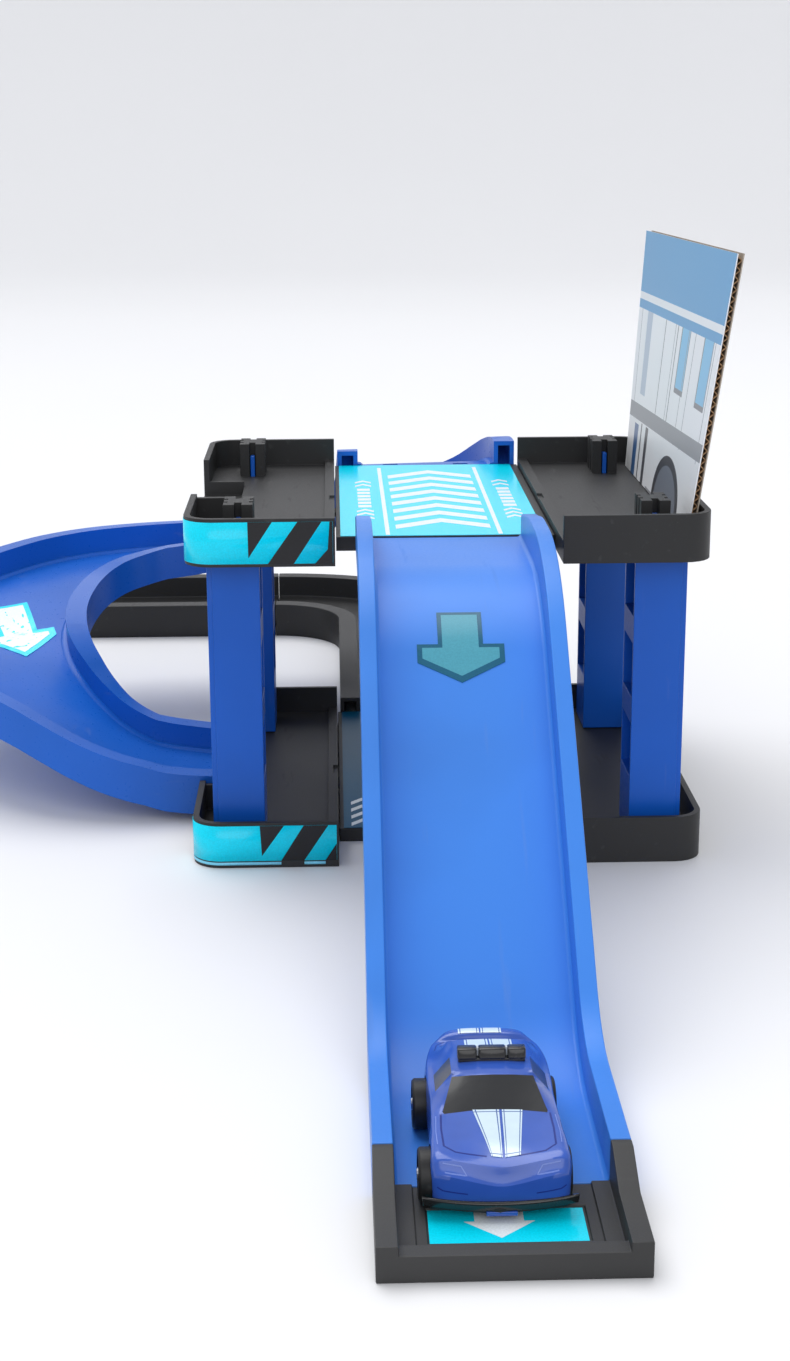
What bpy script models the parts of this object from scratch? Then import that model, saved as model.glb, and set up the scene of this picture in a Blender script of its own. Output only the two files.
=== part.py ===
# Toy parking garage: two levels of parking trays on four columns, a front slide with a
# stop, a winding side track, a floor track behind, a card backdrop and one small car.
# Metres, +Z up. X runs across the garage, Y from the front slide to the back.
# The origin is under the middle of the lower lane, on the table.

import math

import bmesh
import bpy
from mathutils import Matrix, Vector

MM = 0.001

# Clearance between pieces that touch
GAP = 0.3 * MM

# Garage block
BLOCK_WIDTH = 160.0 * MM
BLOCK_DEPTH = 158.0 * MM
LANE_WIDTH = 68.6 * MM
LEVEL_RISE = 95.8 * MM

# Parking trays
TRAY_HEIGHT = 14.7 * MM
TRAY_FLOOR = 5.2 * MM
TRAY_PLATE = 2.0 * MM
TRAY_WALL = 2.0 * MM
TRAY_CORNER = 9.0 * MM
LEDGE_WIDTH = 3.4 * MM
LEDGE_RISE = 1.5 * MM
SNAP_LENGTH = 8.0 * MM
SNAP_REACH = 2.6 * MM
SNAP_THICKNESS = 1.4 * MM
SNAP_HEIGHT = 0.9 * MM
SNAP_MARK_DEPTH = 0.8 * MM
PAD_MARGIN = 1.5 * MM
UNDER_RIB = 2.0 * MM
UNDER_CELL_COUNT = 3

# Bay in the left trays where a side track plugs in
BAY_INSET = 14.0 * MM
BAY_CLEARANCE = 0.5 * MM
BAY_SHELF = 2.2 * MM
BAY_BAR = 2.0 * MM
BAY_RISER = 1.7 * MM

# Column posts on the trays, and the columns
POST_WIDTH = 9.0 * MM
POST_DEPTH = 14.5 * MM
POST_RISE = 2.2 * MM
POST_SHIFT = 1.8 * MM
POST_GROOVE = 1.6 * MM
POST_GROOVE_DEPTH = 1.2 * MM
COLUMN_WIDTH = 16.2 * MM
COLUMN_DEPTH = 21.0 * MM
COLUMN_INSET_X = 6.4 * MM
COLUMN_INSET_Y = 8.5 * MM
COLUMN_STEP_WIDTH = 1.6 * MM
COLUMN_STEP_DEPTH = 0.6 * MM
COLUMN_SKIN = 1.5 * MM
COLUMN_BACK = 2.4 * MM
POCKET_COUNT = 3
POCKET_HEIGHT = 17.3 * MM
POCKET_RIB = 8.5 * MM
TAB_WIDTH = 1.6 * MM
TAB_DEPTH = 3.4 * MM
TAB_REACH = 12.5 * MM

# Lane plates between the trays
LANE_TOP = 4.4 * MM
LANE_THICKNESS = 4.4 * MM
LANE_FRONT_INSET = 22.7 * MM
LANE_SKIN = 1.8 * MM
LANE_RIM = 2.0 * MM
LANE_RIB_WIDTH = 10.0 * MM
LANE_RIB_LENGTH = 90.0 * MM
LATCH_SPACING = 26.0 * MM
LATCH_WIDTH = 5.4 * MM
LATCH_TOOTH = 4.4 * MM
LATCH_OFFSET = 3.0 * MM
LATCH_THICKNESS = 1.6 * MM
LATCH_RISE = 1.1 * MM

# Front slide
SLIDE_WIDTH = 56.0 * MM
SLIDE_RIM = 4.6 * MM
SLIDE_CURB = 0.8 * MM
SLIDE_WALL_HEIGHT = 10.5 * MM
SLIDE_START_WALL = 7.5 * MM
SLIDE_START_RISE_RUN = 27.0 * MM
SLIDE_START_ROUND = 1.2 * MM
SLIDE_SKIN = 1.5 * MM
SLIDE_SKIRT = 2.4 * MM
SLIDE_SLOPE = math.radians(42.0)
SLIDE_TOP_RUN = 40.7 * MM
SLIDE_TOP_RADIUS = 60.0 * MM
SLIDE_FOOT_RADIUS = 45.0 * MM
SLIDE_FOOT_RUN = 36.0 * MM
SLIDE_END_PLUG = 2.4 * MM
HOOK_WIDTH = 9.0 * MM
HOOK_SPACING = 30.0 * MM
HOOK_REACH = 5.0 * MM
HOOK_THICKNESS = 1.6 * MM

# Stop at the foot of the slide
STOP_LENGTH = 34.0 * MM
STOP_SHOULDER = 3.0 * MM
STOP_FALL = 11.0 * MM
STOP_WALL_HEIGHT = 8.2 * MM
STOP_LIP_HEIGHT = 6.0 * MM
STOP_LIP_DEPTH = 4.6 * MM
STOP_STEP = 0.8 * MM
STOP_GUTTER = 4.0 * MM
STOP_PANEL_WIDTH = 34.0 * MM
STOP_PANEL_START = 9.0 * MM
STOP_PANEL_LENGTH = 14.0 * MM
STOP_PANEL_DEPTH = 0.6 * MM

# Channel shared by the winding track and the floor track; walls are low where a lane meets them
TRACK_WIDTH = 66.2 * MM
TRACK_RIM = 7.6 * MM
TRACK_SKIN = 1.6 * MM
TRACK_CURB_WIDTH = 2.6 * MM
TRACK_CURB_RISE = 0.9 * MM
TRACK_START_LEFT_WALL = 5.7 * MM
TRACK_START_RIGHT_WALL = 9.0 * MM
TRACK_START_RISE_RUN = 60.0 * MM

# Winding side track: each drop is a share of the height and the stretch of the route it takes
WINDING_START_RUN = 4.0 * MM
WINDING_FIRST_RADIUS = 37.4 * MM
WINDING_MAIN_RADIUS = 61.1 * MM
WINDING_MAIN_X = 102.0 * MM
WINDING_SKIRT = 3.4 * MM
WINDING_LEFT_WALL = 8.7 * MM
WINDING_RIGHT_WALL = 10.0 * MM
WINDING_DROPS = [(0.445, 0.06, 0.36), (0.14, 0.36, 0.68), (0.415, 0.68, 0.96)]
ARC_STEP = math.radians(4.0)
RUN_STEP = 9.0 * MM

# Floor track
FLOOR_RUN = 111.0 * MM
FLOOR_WALL = 10.4 * MM
FLOOR_TURN_RADIUS = 61.5 * MM
FLOOR_END_RUN = 88.0 * MM

# Card backdrop
CARD_THICKNESS = 3.0 * MM
CARD_HEIGHT = 85.0 * MM
CARD_LENGTH = 134.0 * MM
CARD_FRONT_MARGIN = 12.0 * MM
CARD_FRONT_LEAN = 12.4 * MM
CARD_REAR_LEAN = 5.5 * MM

# Car
CAR_X = -1.5 * MM
CAR_LENGTH = 60.0 * MM
CAR_WIDTH = 29.0 * MM
CAR_BODY_HEIGHT = 16.4 * MM
CAR_NOSE_MARGIN = 14.1 * MM
CAR_FLOOR_CLEARANCE = 3.0 * MM
WHEEL_RADIUS = 5.8 * MM
WHEEL_WIDTH = 4.0 * MM
WHEEL_TRACK = 32.6 * MM
WHEEL_BASE = 32.2 * MM
FRONT_OVERHANG = 8.6 * MM
AXLE_RADIUS = 0.9 * MM
AXLE_SHIFT = 0.6 * MM
WHEEL_ARCH = 0.7 * MM
CHASSIS_THICKNESS = 1.6 * MM
LIP_REACH = 1.0 * MM
LIP_SWEEP = 2.6 * MM
LIP_DEPTH = 1.4 * MM
LIGHT_BAR_WIDTH = 13.0 * MM
LIGHT_BAR_DEPTH = 4.2 * MM
LIGHT_BAR_HEIGHT = 2.4 * MM

# Places that follow from the sizes above
FRONT_Y = -BLOCK_DEPTH / 2
REAR_Y = BLOCK_DEPTH / 2
OUTER_X = BLOCK_WIDTH / 2
INNER_X = LANE_WIDTH / 2
COLUMN_X = OUTER_X - COLUMN_INSET_X - COLUMN_WIDTH / 2
COLUMN_Y = REAR_Y - COLUMN_INSET_Y - COLUMN_DEPTH / 2
POST_X = COLUMN_X - POST_SHIFT
LANE_FRONT_Y = FRONT_Y + LANE_FRONT_INSET
TRACK_FLOOR_Z = LANE_TOP - GAP
SLIDE_FLOOR_Z = LEVEL_RISE + LANE_TOP - GAP
SLIDE_FOOT_Z = SLIDE_SKIRT
WINDING_FOOT_Z = BAY_SHELF + GAP + WINDING_SKIRT
WINDING_END_Y = REAR_Y + WINDING_START_RUN + WINDING_FIRST_RADIUS - 2 * WINDING_MAIN_RADIUS


def clear_scene():
    for old in list(bpy.data.objects):
        bpy.data.objects.remove(old, do_unlink=True)


def plastic(name, colour, roughness, metallic=0.0):
    """A Principled material with one colour."""
    material = bpy.data.materials.new(name)
    material.use_nodes = True
    shader = material.node_tree.nodes["Principled BSDF"]
    shader.inputs["Base Color"].default_value = (*colour, 1.0)
    shader.inputs["Roughness"].default_value = roughness
    shader.inputs["Metallic"].default_value = metallic
    material.diffuse_color = (*colour, 1.0)
    return material


def add_object(name, bm, material=None, origin=(0.0, 0.0, 0.0)):
    """Turn a bmesh in world places into an object whose origin is at `origin`."""
    bmesh.ops.recalc_face_normals(bm, faces=bm.faces)
    bmesh.ops.translate(bm, verts=bm.verts, vec=-Vector(origin))
    mesh = bpy.data.meshes.new(name)
    bm.to_mesh(mesh)
    bm.free()
    piece = bpy.data.objects.new(name, mesh)
    piece.location = origin
    bpy.context.collection.objects.link(piece)
    if material is not None:
        mesh.materials.append(material)
    return piece


def add_prism(bm, outline, low, high, place=None):
    """Extrude a closed outline of (a, b) points; `place` turns (a, b, height) into a point."""
    place = place or (lambda a, b, height: (a, b, height))
    base = [bm.verts.new(place(a, b, low)) for a, b in outline]
    tops = [bm.verts.new(place(a, b, high)) for a, b in outline]
    bm.faces.new(reversed(base))
    bm.faces.new(tops)
    for index in range(len(base)):
        following = (index + 1) % len(base)
        bm.faces.new((base[index], base[following], tops[following], tops[index]))


def add_box(bm, low, high):
    """Add a box between two corners, given in any order."""
    (x0, x1), (y0, y1), (z0, z1) = (sorted(pair) for pair in zip(low, high))
    add_prism(bm, [(x0, y0), (x1, y0), (x1, y1), (x0, y1)], z0, z1)


def boxes(name, spans):
    """One object made of boxes that stand clear of each other."""
    bm = bmesh.new()
    for low, high in spans:
        add_box(bm, low, high)
    return add_object(name, bm)


def rounded_outline(x0, x1, y0, y1, radii, steps=6):
    """Rectangle with a radius at each corner, from (x0, y0) round to (x0, y1)."""
    corners = [(x0, y0, 180.0), (x1, y0, 270.0), (x1, y1, 0.0), (x0, y1, 90.0)]
    outline = []
    for (x, y, start), radius in zip(corners, radii):
        if radius <= 0.0:
            outline.append((x, y))
            continue
        cx = x + (radius if x == x0 else -radius)
        cy = y + (radius if y == y0 else -radius)
        for step in range(steps + 1):
            angle = math.radians(start + 90.0 * step / steps)
            outline.append((cx + radius * math.cos(angle), cy + radius * math.sin(angle)))
    return outline


def hide_tool(tool):
    tool.hide_render = True
    tool.hide_viewport = False
    tool.display_type = "WIRE"


def combine(piece, tool, operation):
    """Cut a tool from a piece, or join it on, with a Boolean modifier."""
    modifier = piece.modifiers.new(tool.name, "BOOLEAN")
    modifier.operation = operation
    modifier.solver = "EXACT"
    modifier.object = tool
    hide_tool(tool)


def sweep(bm, profiles, frames):
    """Loft closed profiles of (across, up) points, one for each frame."""
    rings = []
    for profile, (origin, across, up) in zip(profiles, frames):
        rings.append([bm.verts.new(origin + across * a + up * b) for a, b in profile])
    count = len(profiles[0])
    for near, far in zip(rings, rings[1:]):
        for index in range(count):
            following = (index + 1) % count
            bm.faces.new((near[index], near[following], far[following], far[index]))
    bm.faces.new(reversed(rings[0]))
    bm.faces.new(rings[-1])


def channel_profile(width, rim, walls, skin, skirt, curb_width, curb_rise):
    """Section of a channel: a floor between two hollow walls that are open underneath."""
    half = width / 2
    inner = half - rim
    sides = []
    for wall in walls:
        outside = [
            (half - skin, -skirt),
            (half, -skirt),
            (half, wall),
            (inner, wall),
            (inner, curb_rise),
            (inner - curb_width, 0.0),
        ]
        hollow = [(inner + skin, -skin), (inner + skin, wall - skin), (half - skin, wall - skin)]
        sides.append((outside, hollow))
    (left, left_hollow), (right, right_hollow) = sides
    profile = right + [(-a, b) for a, b in reversed(left)]
    return profile + [(-a, b) for a, b in reversed(left_hollow)] + right_hollow


def track_profiles(samples, skirt, left_wall, right_wall):
    """Channel sections along a route, low at the start where a lane meets the track."""
    profiles = []
    for _, _, _, distance in samples:
        part = ease(distance / TRACK_START_RISE_RUN)
        left = TRACK_START_LEFT_WALL + (left_wall - TRACK_START_LEFT_WALL) * part
        right = TRACK_START_RIGHT_WALL + (right_wall - TRACK_START_RIGHT_WALL) * part
        sizes = (TRACK_SKIN, skirt, TRACK_CURB_WIDTH, TRACK_CURB_RISE)
        profiles.append(channel_profile(TRACK_WIDTH, TRACK_RIM, (left, right), *sizes))
    return profiles


def plan_path(start, heading, moves):
    """Sample a plan route: moves are ("run", length) and ("turn", radius, angle to the left)."""
    x, y = start
    travelled = 0.0
    samples = [(x, y, heading, travelled)]
    for kind, *size in moves:
        if kind == "run":
            length = size[0]
            steps = max(1, round(length / RUN_STEP))
            x0, y0 = x, y
            for step in range(1, steps + 1):
                part = length * step / steps
                x = x0 + math.cos(heading) * part
                y = y0 + math.sin(heading) * part
                samples.append((x, y, heading, travelled + part))
            travelled += length
            continue
        radius, angle = size
        steps = max(1, round(abs(angle) / ARC_STEP))
        cx = x - radius * math.sin(heading)
        cy = y + radius * math.cos(heading)
        h0 = heading
        for step in range(1, steps + 1):
            heading = h0 + angle * step / steps
            x = cx + radius * math.sin(heading)
            y = cy - radius * math.cos(heading)
            samples.append((x, y, heading, travelled + radius * angle * step / steps))
        travelled += radius * angle
    return samples


def plan_frames(samples, height_at):
    """Upright frames along a plan route, with the floor at height_at(distance)."""
    frames = []
    for x, y, heading, distance in samples:
        across = Vector((math.sin(heading), -math.cos(heading), 0.0))
        frames.append((Vector((x, y, height_at(distance))), across, Vector((0.0, 0.0, 1.0))))
    return frames


def ease(value):
    """Smooth step from 0 to 1."""
    value = min(1.0, max(0.0, value))
    return value * value * (3.0 - 2.0 * value)


def turned(bm, profile, centre, steps=20):
    """Turn a profile of (along X, radius) points round an X axis through `centre`."""
    rings = []
    for along, radius in profile:
        if radius == 0.0:
            rings.append([bm.verts.new(Vector(centre) + Vector((along, 0.0, 0.0)))])
            continue
        ring = []
        for step in range(steps):
            angle = 2.0 * math.pi * step / steps
            spoke = Vector((along, radius * math.cos(angle), radius * math.sin(angle)))
            ring.append(bm.verts.new(Vector(centre) + spoke))
        rings.append(ring)
    closed = profile[0][1] > 0.0
    pairs = list(zip(rings, rings[1:]))
    if closed:
        pairs.append((rings[-1], rings[0]))
    for near, far in pairs:
        for step in range(steps):
            following = (step + 1) % steps
            if len(near) == 1:
                bm.faces.new((near[0], far[following], far[step]))
            elif len(far) == 1:
                bm.faces.new((near[step], near[following], far[0]))
            else:
                bm.faces.new((near[step], near[following], far[following], far[step]))


def tray(name, side, level, with_bay, material):
    """Parking tray with a wall on three sides, two column posts and a low inner ledge."""
    inner = side * INNER_X
    outer = side * OUTER_X
    low_x, high_x = sorted((inner, outer))
    radii = [TRAY_CORNER if x == outer else 0.0 for x in (low_x, high_x, high_x, low_x)]
    bm = bmesh.new()
    outline = rounded_outline(low_x, high_x, FRONT_Y, REAR_Y, radii)
    add_prism(bm, outline, level, level + TRAY_HEIGHT)
    piece = add_object(name, bm, material)

    # The parking well, and the low ledge that leaves it open towards the lane
    wall_x = outer - side * TRAY_WALL
    ledge_x = inner + side * LEDGE_WIDTH
    low_x, high_x = sorted((ledge_x, wall_x))
    inside_corner = TRAY_CORNER - TRAY_WALL
    radii = [inside_corner if x == wall_x else 0.0 for x in (low_x, high_x, high_x, low_x)]
    bm = bmesh.new()
    y0 = FRONT_Y + TRAY_WALL
    y1 = REAR_Y - TRAY_WALL
    outline = rounded_outline(low_x, high_x, y0, y1, radii)
    add_prism(bm, outline, level + TRAY_FLOOR, level + 2 * TRAY_HEIGHT)
    combine(piece, add_object(name + "_well", bm), "DIFFERENCE")
    low = (inner - side * TRAY_WALL, y0, level + TRAY_FLOOR + LEDGE_RISE)
    high = (ledge_x + side * LEDGE_WIDTH, y1, level + 2 * TRAY_HEIGHT)
    combine(piece, boxes(name + "_open_side", [(low, high)]), "DIFFERENCE")

    # Posts that take the columns, and the risers at the two ends of the bay
    into = TRAY_PLATE / 2
    floor = level + TRAY_FLOOR
    spans = []
    post_x = side * POST_X
    post_top = level + TRAY_HEIGHT + POST_RISE
    for y in (-COLUMN_Y, COLUMN_Y):
        low = (post_x - POST_WIDTH / 2, y - POST_DEPTH / 2, floor - into)
        spans.append((low, (post_x + POST_WIDTH / 2, y + POST_DEPTH / 2, post_top)))
    bay_low = WINDING_END_Y - TRACK_WIDTH / 2 - BAY_CLEARANCE
    bay_high = WINDING_END_Y + TRACK_WIDTH / 2 + BAY_CLEARANCE
    bay_x = outer - side * BAY_INSET
    if with_bay:
        outside = outer - side * TRAY_WALL / 2
        low = (outside, bay_low - BAY_BAR, floor - into)
        spans.append((low, (bay_x, bay_low, level + TRAY_HEIGHT - into)))
        low = (outside, bay_high, floor - into)
        spans.append((low, (bay_x, bay_high + BAY_BAR, floor + BAY_RISER)))
    for index, (low, high) in enumerate(spans):
        combine(piece, boxes(f"{name}_rise_{index}", [(low, high)]), "UNION")

    # Grooves down each post; the front and back ones run on through the floor for the tabs
    cuts = []
    below = level - TRAY_FLOOR
    above = post_top + POST_RISE
    for y in (-COLUMN_Y, COLUMN_Y):
        for end in (-1, 1):
            face = y + end * POST_DEPTH / 2
            half = TAB_WIDTH / 2 + GAP
            low = (post_x - half, face + end * GAP, below)
            cuts.append((low, (post_x + half, face - end * (TAB_DEPTH + 2 * GAP), above)))
            face = post_x + end * POST_WIDTH / 2
            half = POST_GROOVE / 2
            for row in (-1, 1):
                middle = y + row * POST_DEPTH / 6
                low = (face + end * GAP, middle - half, floor + GAP)
                cuts.append((low, (face - end * POST_GROOVE_DEPTH, middle + half, above)))

    # Windows and marks for the lane's snap tabs
    snap = SNAP_LENGTH / 2 + GAP
    low = (inner - side * SNAP_REACH, -snap, level + SNAP_HEIGHT - GAP)
    high = (inner + side * (SNAP_REACH + GAP), snap, level + SNAP_HEIGHT + SNAP_THICKNESS + GAP)
    cuts.append((low, high))
    low = (inner - side * SNAP_REACH, -snap, floor + LEDGE_RISE - SNAP_MARK_DEPTH)
    cuts.append((low, (inner + side * LEDGE_WIDTH / 2, snap, floor + TRAY_HEIGHT)))

    # Hollow cells under the floor, clear of the solid pads round the columns
    roof = floor - TRAY_PLATE
    pad_y = COLUMN_Y - COLUMN_DEPTH / 2 - PAD_MARGIN - UNDER_RIB
    pad_x = COLUMN_X - COLUMN_WIDTH / 2 - PAD_MARGIN
    near_x = inner + side * UNDER_RIB
    far_x = (bay_x if with_bay else outer) - side * UNDER_RIB
    pitch = (2 * pad_y + UNDER_RIB) / UNDER_CELL_COUNT
    for index in range(UNDER_CELL_COUNT):
        y = -pad_y + index * pitch
        cuts.append(((near_x, y, below), (far_x, y + pitch - UNDER_RIB, roof)))
    for end in (-1, 1):
        y = end * (pad_y + UNDER_RIB)
        cuts.append(((near_x, y, below), (side * pad_x, end * (REAR_Y - UNDER_RIB), roof)))
    if with_bay:
        shelf = TRACK_RIM + TRACK_SKIN
        beyond = outer + side * TRAY_WALL
        cuts.append(((beyond, bay_low, level + BAY_SHELF), (bay_x, bay_high, level + 2 * TRAY_HEIGHT)))
        low = (beyond, bay_low + shelf, below)
        cuts.append((low, (bay_x + side * GAP, bay_high - shelf, level + TRAY_FLOOR)))
    for index, (low, high) in enumerate(cuts):
        combine(piece, boxes(f"{name}_cut_{index}", [(low, high)]), "DIFFERENCE")
    return piece


def lane(name, level, material):
    """Plate between two trays, with a snap tab each side and two latches at the back."""
    half = INNER_X - GAP
    top = level + LANE_TOP
    bottom = top - LANE_THICKNESS
    bm = bmesh.new()
    add_box(bm, (-half, LANE_FRONT_Y, bottom), (half, REAR_Y, top))
    piece = add_object(name, bm, material)

    low = (-half + LANE_RIM, LANE_FRONT_Y + LANE_RIM, bottom - LANE_RIM)
    high = (half - LANE_RIM, REAR_Y - LANE_RIM, top - LANE_SKIN)
    combine(piece, boxes(name + "_under", [(low, high)]), "DIFFERENCE")
    into = LANE_SKIN / 2
    low = (-LANE_RIB_WIDTH / 2, -LANE_RIB_LENGTH / 2, bottom)
    high = (LANE_RIB_WIDTH / 2, LANE_RIB_LENGTH / 2, top - into)
    combine(piece, boxes(name + "_rib", [(low, high)]), "UNION")
    for side in (-1, 1):
        snap_z = level + SNAP_HEIGHT
        low = (side * (half - LANE_RIM / 2), -SNAP_LENGTH / 2, snap_z)
        high = (side * (INNER_X + SNAP_REACH), SNAP_LENGTH / 2, snap_z + SNAP_THICKNESS)
        combine(piece, boxes(f"{name}_snap_{side + 1}", [(low, high)]), "UNION")
        tool = latch(f"{name}_latch_{side + 1}", side * LATCH_SPACING / 2, REAR_Y, level)
        combine(piece, tool, "UNION")
    return piece


def latch(name, x, y, level):
    """Tongue that runs back under a track's floor, with a tooth that stands in its slot."""
    floor = level + TRACK_FLOOR_Z
    top = floor - TRACK_SKIN - GAP
    bottom = top - LATCH_THICKNESS
    tooth = y + GAP + LATCH_OFFSET + GAP
    outline = [
        (y - LANE_RIM / 2, bottom),
        (tooth + LATCH_TOOTH, bottom),
        (tooth + LATCH_TOOTH, top + LATCH_RISE),
        (tooth, top + LATCH_RISE),
        (tooth, top),
        (y - LANE_RIM / 2, top),
    ]
    bm = bmesh.new()
    low = x - LATCH_WIDTH / 2
    add_prism(bm, outline, low, low + LATCH_WIDTH, place=lambda a, b, height: (height, a, b))
    return add_object(name, bm)


def latch_slots(name, end, heading, floor):
    """Cutters for the two latch slots near a track's end, seen along its heading."""
    along = Vector((math.cos(heading), math.sin(heading), 0.0))
    across = Vector((along.y, -along.x, 0.0))
    spans = []
    for side in (-1, 1):
        near = LATCH_OFFSET
        far = LATCH_OFFSET + LATCH_TOOTH + 2 * GAP
        half = LATCH_WIDTH / 2 + GAP
        middle = Vector(end) + across * (side * LATCH_SPACING / 2)
        low = middle + along * near - across * half
        high = middle + along * far + across * half
        low.z = floor - 2 * TRACK_SKIN
        high.z = floor + TRACK_SKIN
        spans.append((tuple(low), tuple(high)))
    return boxes(name, spans)


def column(name, side, end, material):
    """Box column with pockets on its inner side, a socket below and two tabs on top."""
    x = side * COLUMN_X
    y = end * COLUMN_Y
    bottom = TRAY_FLOOR + GAP
    top = LEVEL_RISE - GAP
    half_x = COLUMN_WIDTH / 2
    half_y = COLUMN_DEPTH / 2
    outside = side * half_x
    step_x = outside - side * COLUMN_STEP_WIDTH
    step_y = half_y - COLUMN_STEP_DEPTH
    outline = [(-outside, -half_y), (step_x, -half_y), (step_x, -step_y), (outside, -step_y)]
    outline += [(a, -b) for a, b in reversed(outline)]
    if side < 0:
        outline.reverse()
    bm = bmesh.new()
    add_prism(bm, [(x + a, y + b) for a, b in outline], bottom, top)
    piece = add_object(name, bm, material)

    post_x = side * POST_X
    into = COLUMN_SKIN / 2
    for place in (-1, 1):
        outer_y = y + place * (POST_DEPTH / 2 - GAP)
        low = (post_x - TAB_WIDTH / 2, outer_y, top - into)
        high = (post_x + TAB_WIDTH / 2, outer_y - place * TAB_DEPTH, LEVEL_RISE + TAB_REACH)
        combine(piece, boxes(f"{name}_tab_{place + 1}", [(low, high)]), "UNION")

    cuts = []
    open_x = x - side * (half_x + into)
    back_x = x + side * (half_x - COLUMN_BACK)
    for index in range(POCKET_COUNT):
        high_z = top - COLUMN_SKIN - index * (POCKET_HEIGHT + POCKET_RIB)
        low = (open_x, y - half_y + COLUMN_SKIN, high_z - POCKET_HEIGHT)
        cuts.append((low, (back_x, y + half_y - COLUMN_SKIN, high_z)))
    socket_x = POST_WIDTH / 2 + GAP
    socket_y = POST_DEPTH / 2 + GAP
    socket_top = TRAY_HEIGHT + POST_RISE + GAP
    cuts.append(((post_x - socket_x, y - socket_y, 0.0), (post_x + socket_x, y + socket_y, socket_top)))
    combine(piece, boxes(name + "_hollows", cuts), "DIFFERENCE")
    return piece


def slide_route():
    """Points down the slide as (y, z, descent angle), from the deck to the foot."""
    turn = (SLIDE_TOP_RADIUS + SLIDE_FOOT_RADIUS) * (1.0 - math.cos(SLIDE_SLOPE))
    straight = (SLIDE_FLOOR_Z - SLIDE_FOOT_Z - turn) / math.sin(SLIDE_SLOPE)
    start = LANE_FRONT_Y - GAP
    z = SLIDE_FLOOR_Z
    shares = [0.0, 0.03, 0.08, 0.22, 0.36, 0.52, 0.68, 1.0]
    points = [(start - SLIDE_TOP_RUN * share, z, 0.0) for share in shares]
    y = points[-1][0]
    steps = round(SLIDE_SLOPE / ARC_STEP)
    for step in range(1, steps + 1):
        angle = SLIDE_SLOPE * step / steps
        dy = SLIDE_TOP_RADIUS * math.sin(angle)
        dz = SLIDE_TOP_RADIUS * (1.0 - math.cos(angle))
        points.append((y - dy, z - dz, angle))
    y, z, angle = points[-1]
    y -= straight * math.cos(SLIDE_SLOPE)
    z -= straight * math.sin(SLIDE_SLOPE)
    points.append((y, z, SLIDE_SLOPE))
    for step in range(1, steps + 1):
        angle = SLIDE_SLOPE * (1.0 - step / steps)
        dy = SLIDE_FOOT_RADIUS * (math.sin(SLIDE_SLOPE) - math.sin(angle))
        dz = SLIDE_FOOT_RADIUS * (math.cos(angle) - math.cos(SLIDE_SLOPE))
        points.append((y - dy, z - dz, angle))
    y, z, angle = points[-1]
    points.append((y - SLIDE_FOOT_RUN, z, 0.0))
    return points


def slide(material):
    """Front slide with hollow side walls, rounded wall ends and two hooks under the deck."""
    start = LANE_FRONT_Y - GAP
    frames = []
    profiles = []
    for index, (y, z, angle) in enumerate(slide_route()):
        up = Vector((0.0, -math.sin(angle), math.cos(angle)))
        frames.append((Vector((0.0, y, z)), Vector((1.0, 0.0, 0.0)), up))
        part = ease((start - y) / SLIDE_START_RISE_RUN)
        wall = SLIDE_START_WALL + (SLIDE_WALL_HEIGHT - SLIDE_START_WALL) * part
        wall -= SLIDE_START_ROUND * max(0.0, 1.0 - 0.75 * index)
        sizes = (SLIDE_SKIN, SLIDE_SKIRT, SLIDE_CURB, SLIDE_CURB)
        profiles.append(channel_profile(SLIDE_WIDTH, SLIDE_RIM, (wall, wall), *sizes))
    bm = bmesh.new()
    sweep(bm, profiles, frames)
    piece = add_object("slide", bm, material)

    into = SLIDE_SKIN / 2
    plug_top = SLIDE_FLOOR_Z + SLIDE_START_WALL - SLIDE_START_ROUND - GAP / 3
    for side in (-1, 1):
        wall_x = side * (SLIDE_WIDTH - SLIDE_RIM) / 2
        low = (wall_x - SLIDE_RIM / 2 + into, start - SLIDE_END_PLUG, SLIDE_FLOOR_Z - SLIDE_SKIRT)
        high = (wall_x + SLIDE_RIM / 2 - into, start, plug_top)
        combine(piece, boxes(f"slide_plug_{side + 1}", [(low, high)]), "UNION")
        under_deck = LEVEL_RISE + LANE_TOP - LANE_THICKNESS - GAP
        outline = [
            (start - HOOK_THICKNESS, SLIDE_FLOOR_Z - into),
            (start - HOOK_THICKNESS, under_deck - HOOK_THICKNESS),
            (LANE_FRONT_Y + HOOK_REACH, under_deck - HOOK_THICKNESS),
            (LANE_FRONT_Y + HOOK_REACH, under_deck),
            (start, under_deck),
            (start, SLIDE_FLOOR_Z - into),
        ]
        bm = bmesh.new()
        low = side * HOOK_SPACING / 2 - HOOK_WIDTH / 2
        add_prism(bm, outline, low, low + HOOK_WIDTH, place=lambda a, b, height: (height, a, b))
        combine(piece, add_object(f"slide_hook_{side + 1}", bm), "UNION")
    return piece


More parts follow.
